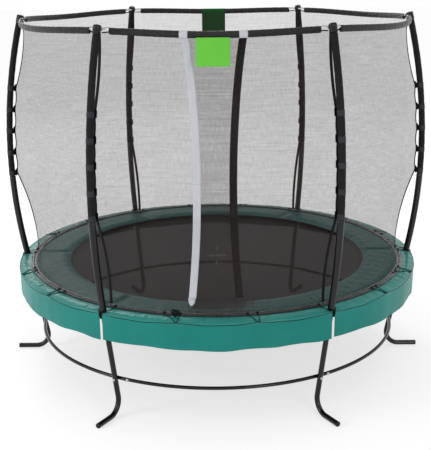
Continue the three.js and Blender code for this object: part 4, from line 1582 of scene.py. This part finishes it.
@dataclass
class Entrance:
    """The two overlapping panels of the front bay, with webbing along their free edges.

    The middle of each free edge is parted off as a flap in two triangles, from the lines to the corner up
    to the middle of the edge.
    """

    palette: Palette
    strip: float = 0.050
    strip_top: float = 0.188
    strip_waist: float = 0.122
    strip_bottom: float = 0.172
    waist: float = 1.700
    flap_top: float = 2.430
    flap_bottom: float = 1.000
    corner_x: float = 0.420
    webbing: float = 0.0016
    webbing_end: float = 0.922
    inner_shift: float = 0.013
    hem_reach: tuple[float, float] = (-0.158, 0.245)
    hem_height: float = 0.884
    hem_rise: float = 0.012
    hem_tall: float = 0.046
    rows: int = 130
    columns: int = 44

    def build(self) -> None:
        """Build both panels with their webbing."""
        for side in Side:
            name = side.name.lower()
            material = self.palette.reflective if side is Side.OUTER else self.palette.webbing
            self.share_out(
                self.cloth(side, self.columns, 0.0, False), side, f"entrance_net_{name}",
                self.palette.net, f"entrance_panel_{name}", f"entrance_flap_{name}", 0.0,
            )
            self.share_out(
                self.cloth(side, 6, 0.0025, True), side, f"entrance_webbing_{name}",
                material, f"entrance_strip_{name}", f"entrance_strip_{name}", self.webbing,
            )
        self.raised_hem()
        self.webbing_tail()
        LOG.info("entrance panels, flaps, webbing and raised hem")

    def offset_at(self, height: np.ndarray, side: Side) -> np.ndarray:
        """Distance from the bay's middle to the middle of the webbing.

        Args:
            height: the heights.
            side: which panel.

        Returns:
            The distances.
        """
        above = height > self.waist
        span = np.where(above, NET.top - self.waist, NET.bottom - self.waist)
        end = np.where(above, self.strip_top, self.strip_bottom)
        bow = self.strip_waist + (end - self.strip_waist) * ((height - self.waist) / span) ** 2
        return bow - (self.inner_shift if side is Side.INNER else 0.0)

    def raised_hem(self) -> None:
        """The stiff lower hem of the overlap, which stands above the pad, with puckers."""
        across = np.linspace(*self.hem_reach, 110)
        share = np.linspace(0, 1, len(across))
        turns = np.linspace(0, 2 * math.pi, 21)[:-1]
        tall = self.hem_tall / 2 * (1 + 0.05 * np.sin(across * 61))
        middle = self.hem_height + self.hem_rise * share + 0.0014 * np.sin(across * 33)
        thick = 0.0034 * (1 + 0.15 * np.sin(across * 47))
        upright = np.sign(np.sin(turns)) * np.abs(np.sin(turns)) ** 0.6
        row = middle[:, None] + tall[:, None] * upright[None, :]
        angle = np.arcsin(across / NET.hem_line)[:, None] + 0 * row
        grid = pushed_out(NET.points(angle, row), 0.0125 + thick[:, None] * np.cos(turns)[None, :])
        draft = Draft()
        draft.add_grid(grid, wrap=True, uv=np.stack([angle, row], -1))
        draft.close_ends(len(turns))
        hold(draft.make("entrance_hem", self.palette.hem), "hem_vinyl")

    def webbing_tail(self) -> None:
        """The folded pale corner in which the outer webbing ends."""
        corners = np.array([
            [[-0.178, 0.880], [-0.165, 0.884], [-0.152, 0.894]],
            [[-0.190, 0.902], [-0.169, 0.904], [-0.147, 0.910]],
            [[-0.197, 0.926], [-0.171, 0.926], [-0.146, 0.926]],
        ])
        angle = np.arcsin(corners[..., 0] / 1.44)
        out = np.array([[0.0185, 0.0215, 0.0175], [0.0185, 0.020, 0.019], [0.0085, 0.0085, 0.0085]])
        draft = Draft()
        draft.add_grid(pushed_out(NET.points(angle, corners[..., 1]), out), uv=corners)
        piece = draft.make("webbing_tail", self.palette.reflective)
        thicken(piece, self.webbing)
        hold(piece, "pale_webbing")

    def cloth(self, side: Side, columns: int, standoff: float, narrow: bool) -> np.ndarray:
        """The grid of one panel, or of the webbing on its free edge.

        Args:
            side: which panel.
            columns: how many quads wide.
            standoff: how far it lies off the panel.
            narrow: only the webbing's width.

        Returns:
            Rows by columns by 3 points, with the free edge first.
        """
        heights = np.linspace(self.webbing_end if narrow else NET.bottom, NET.top, self.rows + 1)
        middle = np.linalg.norm(NET.points(np.zeros_like(heights), heights)[:, :2], axis=1)
        offset = self.offset_at(heights, side)
        free = -np.arctan2(offset + self.strip / 2, middle)
        inner = -np.arctan2(offset - self.strip / 2, middle)
        post = HALF_BAY - 0.001 / NET.hoop_radius
        end = inner if narrow else np.full_like(heights, post)
        share = np.linspace(0, 1, columns + 1)
        angle = free[:, None] + (end - free)[:, None] * share[None, :]
        row = np.broadcast_to(heights[:, None], angle.shape)
        grid = NET.points(angle, row)
        nearness = (post - angle) / (2 * post)
        layer = NET.layer * nearness + standoff
        return np.stack([
            side.value * grid[..., 0], grid[..., 1] - side.value * layer, grid[..., 2]
        ], -1)

    def share_out(
        self, grid: np.ndarray, side: Side, name: str, material: bpy.types.Material,
        fixed_node: str, flap_node: str, thickness: float,
    ) -> None:
        """Cut a cloth along the flap's lines, hang its fixed shares on the frame and leave the flap's
        shares in place.

        Args:
            grid: the cloth's points.
            side: which panel.
            name: the pieces' name.
            material: the finish.
            fixed_node: the CAD node that the fixed share stands for.
            flap_node: the CAD node that the moving shares stand for.
            thickness: the cloth's thickness, or 0 for a single layer.
        """
        corner = Vector((side.value * self.corner_x, 0, self.waist))
        middle = Vector((-side.value * (self.strip_waist + self.strip / 2), 0, self.waist))
        draft = Draft()
        draft.add_grid(grid, flip=side is Side.INNER, uv=cloth_uv(grid))
        whole = draft.make(name + "_whole", material)
        narrow = thickness > 0
        normals = {}
        for share, height in ((Share.UPPER, self.flap_top), (Share.LOWER, self.flap_bottom)):
            edge_x = float(self.offset_at(np.array(height), side)) + self.strip / 2
            along = Vector((-side.value * edge_x, 0, height)) - corner
            normal = Vector((-along.z, 0, along.x)).normalized()
            if (middle - corner).dot(normal) < 0:
                normal.negate()
            normals[share] = normal
        for share in Share:
            work = bmesh.new()
            work.from_mesh(whole.data)
            for normal in [*normals.values(), Vector(UP)]:
                geometry = [*work.verts, *work.edges, *work.faces]
                bmesh.ops.bisect_plane(work, geom=geometry, plane_co=corner, plane_no=normal, dist=1e-6)
            drop = [f for f in work.faces if self.share_of(f, normals, corner, narrow) is not share]
            bmesh.ops.delete(work, geom=drop, context="FACES")
            if not work.faces:
                work.free()
                continue
            mesh = bpy.data.meshes.new(f"{name}_{share.value}")
            work.to_mesh(mesh)
            work.free()
            piece = dress(mesh, f"{name}_{share.value}", material)
            if thickness:
                thicken(piece, thickness)
            if share in (Share.FIXED, Share.FOOT):
                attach(piece, "frame")
                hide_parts(fixed_node)
            else:
                f"flap_{side.name.lower()}"
                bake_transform(piece)
                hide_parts(flap_node)
        bpy.data.objects.remove(whole)

    def share_of(
        self, face: bmesh.types.BMFace, normals: dict[Share, Vector], corner: Vector, narrow: bool
    ) -> Share:
        """Which share a face belongs to, by its middle.

        Args:
            face: the face.
            normals: the normals of the planes that part the flap off.
            corner: where the planes meet.
            narrow: whether the cloth is a webbing, whose fixed ends lie apart.

        Returns:
            Its share.
        """
        centre = face.calc_center_median()
        if all((centre - corner).dot(normal) > 0 for normal in normals.values()):
            return Share.UPPER if centre.z > corner.z else Share.LOWER
        return Share.FOOT if narrow and centre.z < corner.z else Share.FIXED


@dataclass
class Patches:
    """The plain sewn patches at the top of the front and back bays."""

    palette: Palette
    width: float = 0.208
    bottom: float = 2.442
    side_shift: float = -0.0125
    thickness: float = 0.0016
    tunnel_low: float = 2.616
    tunnel_high: float = 2.6545
    off_tunnel: float = 0.0118
    back_lift: float = 0.016

    def build(self) -> None:
        """Build both patches."""
        off = self.off_tunnel
        front = [(off, self.bottom), (off, self.tunnel_low)]
        back = [
            (-off, self.bottom + self.back_lift), (-off, self.tunnel_high - 0.006),
            (-off * 0.6, self.tunnel_high), (off * 0.6, self.tunnel_high),
            (off, self.tunnel_high - 0.006), (off, self.bottom + self.back_lift),
        ]
        self.patch("patch_cloth_front", FRONT, front, "bright_patch",
                   self.palette.bright_patch, "patch_front")
        self.patch("patch_cloth_back", -FRONT, back, "dark_patch",
                   self.palette.dark_patch, "patch_back")
        LOG.info("front and back patches")

    def patch(
        self, name: str, turn: float, route: Sequence[tuple[float, float]], slot: str,
        material: bpy.types.Material, node: str,
    ) -> None:
        """One patch, curved with the hoop and slightly waved.

        Args:
            name: the piece's name.
            turn: the angle of its middle from +X.
            route: offsets from the hoop and heights that its middle follows.
            slot: the record's material slot.
            material: its finish.
            node: the CAD node that it stands for.
        """
        line = smooth_path(np.array([(off, 0.0, z) for off, z in route]), 40)
        across = np.linspace(-self.width / 2, self.width / 2, 25)
        side = across[None, :] + (self.side_shift if turn < 0 else -self.side_shift)
        height = line[:, 2:]
        radius = NET.hoop_radius + line[:, :1] + 0.0012 * np.sin(side * 40) * np.cos(height * 31)
        turns = turn + side / radius
        hang_cloth(name, polar(radius, turns, height), material, slot, node, self.thickness)


# Mat, springs and pad


@dataclass
class JumpSurface:
    """The mat in flat sectors, its webbing rim and the springs."""

    palette: Palette
    height: float = (reach("jumping_mat") + reach("jumping_mat", high=False)) / 2
    mat_radius: float = 1.2745
    sectors: int = 12
    rim_inner: float = 1.275
    rim_outer: float = 1.315
    rim_half: float = 0.004
    springs: int = 60
    coil_radius: float = 0.0092
    wire: float = 0.0016
    rail_face: float = 1.4935

    def build(self) -> None:
        """Build the mat, the rim and the springs."""
        for index in range(self.sectors):
            self.sector(index)
        self.rim()
        self.spring_ring()
        LOG.info("mat of %d sectors, rim and %d springs", self.sectors, self.springs)

    def sector(self, index: int) -> None:
        """One flat sector of the mat, at the mat's middle height.

        Args:
            index: which sector, from +X.
        """
        span = 2 * math.pi / self.sectors
        middle = span * (index + 0.5)
        turns = np.linspace(middle - span / 2, middle + span / 2, 9)
        radii = np.linspace(0.0, self.mat_radius, 41)
        grid = polar(radii[:, None], turns[None, :], self.height)
        draft = Draft()
        draft.add_grid(grid, uv=grid[..., :2])
        piece = draft.make(f"mat_sector_{index + 1:02d}", self.palette.mat)
        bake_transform(piece)
        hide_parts("jumping_mat")

    def rim(self) -> None:
        """The doubled webbing sewn round the mat."""
        draft = Draft()
        low, high = self.height - self.rim_half, self.height + self.rim_half
        draft.add_lathe([
            (self.rim_inner, low), (self.rim_outer, low), (self.rim_outer + 0.001, self.height),
            (self.rim_outer, high), (self.rim_inner, high), (self.rim_inner, low),
        ], 240)
        draft.uvs = [(math.atan2(p[1], p[0]) * 1.3, math.hypot(p[0], p[1])) for p in draft.points]
        hold(draft.make("rim_band", self.palette.rim), "dark_webbing", "mat_rim_with_springs")

    def spring_ring(self) -> None:
        """The springs, by Geometry Nodes: one coil with two straight hooks, set round a circle."""
        coil_start, coil_end = self.rim_outer + 0.012, self.rail_face - 0.016
        length = coil_end - coil_start
        tree = GeometryTree("springs", {"Coil radius": self.coil_radius, "Wire": self.wire})
        spiral = tree.node("GeometryNodeCurveSpiral", {
            "Resolution": 10, "Rotations": 22.0, "Start Radius": tree.inputs["Coil radius"],
            "End Radius": tree.inputs["Coil radius"], "Height": length,
        })
        profile = tree.node("GeometryNodeCurvePrimitiveCircle", {
            "Resolution": 5, "Radius": tree.inputs["Wire"]
        })
        coil = tree.node("GeometryNodeCurveToMesh", {
            "Curve": spiral[0], "Profile Curve": profile[0], "Fill Caps": True
        })
        parts = [coil[0]]
        for start, end in ((-0.030, 0.002), (length - 0.002, length + 0.014)):
            hook = tree.node("GeometryNodeCurvePrimitiveLine", {"Start": (0, 0, start), "End": (0, 0, end)})
            rod = tree.node("GeometryNodeCurveToMesh", {
                "Curve": hook[0], "Profile Curve": profile[0], "Fill Caps": True
            })
            parts.append(rod[0])
        ring = tree.set_round(
            tree.join(*parts), self.springs, coil_start, self.height, math.pi / self.springs
        )
        hold(tree.finish(ring, "coil_springs", self.palette.zinc), "spring_steel",
             "mat_rim_with_springs")


@dataclass
class SafetyPad:
    """The padded ring in sections, sewn along each post's line, and the skirt of each section."""

    palette: Palette
    inner: float = 1.157
    outer: float = 1.551
    low: float = 0.7960
    high: float = 0.8232
    most: float = reach("safety_pad") + 0.004
    crown: float = 0.0045
    slit_half: float = 0.010
    hole: float = 0.0262
    seam_gap: float = 0.0004
    hem_inner: float = 1.413
    hem_outer: float = 1.463
    skirt_radius: float = 1.5505
    skirt_low: float = reach("safety_pad", high=False)
    skirt_cloth: float = 0.0014
    fold_depth: float = 0.007
    skirt_wave: float = 0.0075
    welt: float = 0.0024
    welt_gap: float = 0.0006
    welt_drop: float = 0.0125
    welt_sag: float = 0.014
    pressure: float = 4.0
    spare_cloth: float = 0.035
    swell_cap: float = 0.010
    frames: int = 20
    tie_share: float = 1 / 3
    columns: int = 181
    count: int = 36

    def build(self) -> None:
        """Build every section of pad and skirt."""
        template = self.template()
        points: list[Vector] = []
        faces: list[tuple[int, ...]] = []
        for bay in range(BAYS):
            piece = self.section(template, bay)
            start = len(points)
            points += [vertex.co.copy() for vertex in piece.data.vertices]
            faces += [tuple(i + start for i in polygon.vertices) for polygon in piece.data.polygons]
            self.skirt(bay)
        bpy.data.objects.remove(template)
        self.shell = BVHTree.FromPolygons(points, faces)
        LOG.info("pad sections and skirts: %d of each", BAYS)

    def top_at(self, x: float, y: float) -> float:
        """The height of the pad's top at a place, or of its rim where it has none."""
        place, _, _, _ = self.shell.ray_cast(Vector((x, y, self.most + 0.1)), Vector((0, 0, -1)))
        return place.z if place and place.z > self.low + 0.005 else self.high - 0.008

    def half_span(self, radius: np.ndarray) -> np.ndarray:
        """Half the angle of a section at a radius, less the hole and slit of the post.

        Args:
            radius: the distances from the axis.

        Returns:
            The half angles.
        """
        post = LINE.radius_at(0.81)
        away = np.clip(self.hole ** 2 - (radius - post) ** 2, 0, None) ** 0.5
        cut = np.where(radius > post, np.maximum(away, self.slit_half), np.maximum(away, self.seam_gap))
        return HALF_BAY - cut / radius

    def under_hem(self, radius: np.ndarray, half_width: float) -> np.ndarray:
        """1 where the net's hem lies on the pad, falling to 0 beside it."""
        return np.exp(-(((radius - HEM_RADIUS) / half_width) ** 6))

    def template(self) -> bpy.types.Object:
        """One section about the first bay's middle, swollen by cloth simulation."""
        across = np.linspace(self.inner, self.outer, self.count)
        mid = (self.low + self.high) / 2
        half = (self.high - self.low) / 2
        u = np.linspace(-1, 1, self.count)
        plump = (1 - np.abs(u) ** 5) ** 0.5
        top = np.stack([across, mid + half * plump], -1)
        bottom = np.stack([across[::-1], (mid - half * plump)[::-1]], -1)
        profile = np.concatenate([top, bottom[1:-1]])
        share = np.linspace(-1, 1, self.columns)
        radius = profile[:, 0][None, :]
        turns = share[:, None] * self.half_span(profile[:, 0])[None, :]
        seam = np.exp(-(1 - np.abs(share)) * HALF_BAY * 1.35 / 0.05)[:, None]
        upper = (profile[:, 1] > mid + half * 0.3)[None, :]
        in_hem = self.under_hem(radius, 0.034)
        crown = self.crown * np.sin(math.pi * np.clip((radius - 1.17) / 0.24, 0, 1)) ** 2
        height = profile[:, 1][None, :] + upper * (1 - in_hem) * (crown * (1 - seam) - 0.002 * seam)
        height = height - upper * in_hem * 0.0008
        between = 1 - np.abs(np.cos(turns / HALF_BAY * math.pi / 2 / self.tie_share))
        height = height - upper * 0.009 * between * np.clip((radius - 1.505) / 0.046, 0, 1) ** 2
        along = np.cumsum(np.r_[0, np.linalg.norm(np.diff(profile, axis=0), axis=1)])
        uv = np.stack(np.broadcast_arrays(turns * radius, along[None, :]), -1)
        draft = Draft()
        draft.add_grid(polar(radius, turns, height), wrap=True, uv=uv)
        draft.close_ends(len(profile))
        piece = draft.make("pad_template", self.palette.pad)
        self.swell(piece)
        return piece

    def swell(self, piece: bpy.types.Object) -> None:
        """Fill a section by cloth simulation, held at its seams, under the hem and below.

        Args:
            piece: the section, which keeps the result in its mesh.
        """
        points = mesh_points(piece.data)
        radius = np.hypot(points[:, 0], points[:, 1])
        turn = np.abs(np.arctan2(points[:, 1], points[:, 0]))
        tie = turn - HALF_BAY * self.tie_share
        held = ((HALF_BAY - turn) * radius < 0.016) | (points[:, 2] < (self.low + self.high) / 2)
        held |= (radius > self.hem_inner) & (radius < self.hem_outer)
        held |= (radius > self.outer - 0.012) & (np.abs(tie) * radius < 0.012)
        group = piece.vertex_groups.new(name="held")
        group.add([int(i) for i in np.flatnonzero(held)], 1.0, "REPLACE")
        modifier = piece.modifiers.new("swell", "CLOTH")
        cloth = modifier.settings
        cloth.quality = 5
        cloth.mass = 0.25
        cloth.tension_stiffness = cloth.compression_stiffness = 12
        cloth.shear_stiffness = 4
        cloth.bending_stiffness = 0.08
        cloth.use_pressure = True
        cloth.uniform_pressure_force = self.pressure
        cloth.shrink_min = -self.spare_cloth
        cloth.vertex_group_mass = "held"
        cloth.effector_weights.gravity = 0
        modifier.collision_settings.use_collision = False
        modifier.point_cache.frame_start = 1
        modifier.point_cache.frame_end = self.frames
        scene = bpy.context.scene
        for frame_number in range(1, self.frames + 1):
            scene.frame_set(frame_number)
        graph = bpy.context.evaluated_depsgraph_get()
        swollen = piece.evaluated_get(graph).data
        moved = mesh_points(swollen) - points
        piece.modifiers.clear()
        scene.frame_set(1)
        size = np.linalg.norm(moved, axis=1)[:, None]
        moved *= self.swell_cap * np.tanh(size / self.swell_cap) / np.maximum(size, 1e-9)
        points += moved
        points[:, 2] = np.minimum(points[:, 2], self.most)
        place_points(piece.data, points)
        piece.vertex_groups.clear()
        LOG.info("pad swollen by at most %.1f mm", 1000 * float(size.max()))

    def section(self, template: bpy.types.Object, bay: int) -> bpy.types.Object:
        """One section: the swollen template with creases of its own, turned to its bay.

        Args:
            template: the swollen section about the first bay's middle.
            bay: which bay.

        Returns:
            The piece.
        """
        mesh = template.data.copy()
        mesh.name = f"pad_section_{bay + 1}"
        points = mesh_points(mesh)
        radius = np.hypot(points[:, 0], points[:, 1])
        upper = np.clip((points[:, 2] - self.low - 0.015) / 0.008, 0, 1)
        in_hem = self.under_hem(radius, 0.036)
        creases = ripple(points, 0.21, 0.0022, bay * 1.7) + ripple(points, 0.07, 0.0008, bay * 2.9)
        points[:, 2] += upper * (1 - in_hem) * (creases - 0.0012)
        points[:, 2] = np.minimum(points[:, 2], self.most)
        place_points(mesh, turned(points, bay * BAY_ANGLE + HALF_BAY))
        piece = dress(mesh, mesh.name, self.palette.pad)
        hold(piece, "pad_vinyl", "safety_pad")
        return piece

    def skirt(self, bay: int) -> None:
        """The skirt below the edge of a section, with soft folds, an uneven hem and a welt whose dark
        colour is painted shade of the fold.

        Args:
            bay: which bay.
        """
        heights = np.linspace(self.skirt_low, self.high - 0.009, 30)
        reach_out = float(self.half_span(np.array([self.skirt_radius]))[0])
        turns = np.linspace(-reach_out, reach_out, 181)
        angle, height = np.meshgrid(turns, heights)
        drop = (self.high - height) / (self.high - self.skirt_low)
        fold = (1 - np.cos(angle * 24 + 0.7 * np.sin(angle * 9 + bay))) / 2
        small = (1 + np.sin(angle * 63 + bay * 2)) / 2
        radius = self.skirt_radius - self.fold_depth * drop * (0.75 * fold + 0.25 * small)
        wave = np.sin(angle * 11 + bay * 1.3) + 0.6 * np.sin(angle * 29 + bay)
        lift = self.skirt_wave * drop ** 3 * (1 + wave / 1.6)
        turn = bay * BAY_ANGLE + HALF_BAY
        hang_cloth(f"skirt_{bay + 1}", polar(radius, angle, height + lift), self.palette.pad,
                   "pad_vinyl", "safety_pad", self.skirt_cloth, turn)
        # The welt dips between ties; its dark colour paints the shadow in the fold there.
        sag = self.welt_sag * np.abs(np.cos(turns / HALF_BAY * math.pi / 2 / self.tie_share)) ** 0.8
        sag += 0.0014 * np.sin(turns * 47 + bay)
        path = polar(self.skirt_radius + self.welt_gap, turns, self.high - self.welt_drop - sag)
        edge = Draft()
        edge.add_tube(path, self.welt, UP, sides=8)
        hold(edge.make(f"pad_welt_{bay + 1}", self.palette.seam, turn), "pad_vinyl")


# Camera, floor and light


@dataclass
class Studio:
    """The camera at the photographed angle, a pale floor and soft light."""

    position: tuple[float, float, float] = (0.0011, -7.1536, 3.0442)
    yaw: float = math.radians(-0.072)
    pitch: float = math.radians(-15.674)
    roll: float = math.radians(-0.458)
    focal_share: float = 931.72 / 450
    sensor: float = 36.0
    floor_half: float = 60.0
    floor_glow: float = 0.63
    floor_share: float = 0.66
    world_light: float = 0.66
    lamp_aim: tuple[float, float, float] = (0, 0, 1.2)
    lamps: tuple[tuple[str, tuple[float, float, float], float, float, float], ...] = (
        ("left", (-6.6, -3.4, 3.0), 2.2, 3.8, 150.0),
        ("right", (3.5, -7.6, 3.0), 1.5, 3.6, 105.0),
        ("back", (-3.9, 9.5, 8.2), 3.6, 4.8, 250.0),
    )

    def camera(self) -> None:
        """Set up the camera."""
        data = bpy.data.cameras.new("camera")
        data.sensor_width = self.sensor
        data.lens = self.focal_share * self.sensor
        camera = add_object("camera", data)
        camera.location = self.position
        forward = Vector((
            math.sin(self.yaw) * math.cos(self.pitch), math.cos(self.yaw) * math.cos(self.pitch),
            math.sin(self.pitch),
        ))
        right = forward.cross(Vector(UP)).normalized()
        up = right.cross(forward)
        tilted_right = right * math.cos(self.roll) + up * math.sin(self.roll)
        tilted_up = up * math.cos(self.roll) - right * math.sin(self.roll)
        camera.rotation_euler = Matrix((tilted_right, tilted_up, -forward)).transposed().to_euler()
        bpy.context.scene.camera = camera

    def seen_plainly(self, sheet: NodeSheet) -> Wire:
        """1 for rays from the camera, from a mirror or through glass, and 0 for light."""
        path = sheet.node("ShaderNodeLightPath", {})
        return path[0].larger(path[3]).larger(path[6])

    def floor(self) -> None:
        """A wide pale floor that fades to white and keeps the object's shadow."""
        mesh = bpy.data.meshes.new("floor")
        side = self.floor_half
        mesh.from_pydata([(-side, -side, 0), (side, -side, 0), (side, side, 0), (-side, side, 0)],
                         [], [(0, 1, 2, 3)])
        floor = add_object("floor", mesh)
        sheet = NodeSheet("studio_floor")
        sheet.set(Base_Color=(0.8, 0.8, 0.8, 1.0), Roughness=0.9, Specular_IOR_Level=0.0)
        seen = self.seen_plainly(sheet)
        glow = sheet.node("ShaderNodeEmission", {
            "Color": (1, 1, 1, 1), "Strength": seen * self.floor_glow
        })
        dim = sheet.node("ShaderNodeMixShader", {0: 1 - seen * (1 - self.floor_share)})
        dim_node = dim[0].socket.node
        sheet.tree.links.new(sheet.shader.outputs[0], dim_node.inputs[2])
        both = sheet.node("ShaderNodeAddShader", {0: glow[0], 1: dim[0]})
        sheet.tree.links.new(both[0].socket, sheet.output.inputs[0])
        mesh.materials.append(sheet.material)

    def lights(self) -> None:
        """Soft lamps beside the camera and behind the object, and a world that is seen as white."""
        sheet = NodeSheet("studio", world=True)
        glow = self.world_light + self.seen_plainly(sheet) * (1 - self.world_light)
        sheet.set(Color=(1, 1, 1, 1), Strength=glow)
        bpy.context.scene.world = sheet.material
        for name, place, width, height, power in self.lamps:
            data = bpy.data.lights.new(name, "AREA")
            data.shape = "RECTANGLE"
            data.size = width
            data.size_y = height
            data.energy = power
            lamp = add_object(name, data)
            lamp.location = place
            aim = Vector(self.lamp_aim) - Vector(place)
            lamp.rotation_euler = aim.to_track_quat("-Z", "Y").to_euler()
            lamp.visible_camera = False
        bpy.context.scene.view_settings.view_transform = "Standard"

    def build(self) -> None:
        """Set up the camera, the floor and the light."""
        self.camera()
        self.floor()
        self.lights()
        LOG.info("camera, floor and lamps")


def main() -> None:
    """Build the whole scene in order."""
    logging.basicConfig(level=logging.INFO, format="%(message)s")
    Studio().build()
    palette = Palette()
    pad = SafetyPad(palette)
    builders: list[Callable[[], None]] = [
        LowerFrame(palette).build,
        Posts(palette).build,
        Hoop(palette).build,
        JumpSurface(palette).build,
        pad.build,
        Enclosure(palette, pad.top_at).build,
        Entrance(palette).build,
        Patches(palette).build,
    ]
    for build in builders:
        build()


if __name__ == "__main__":
    main()
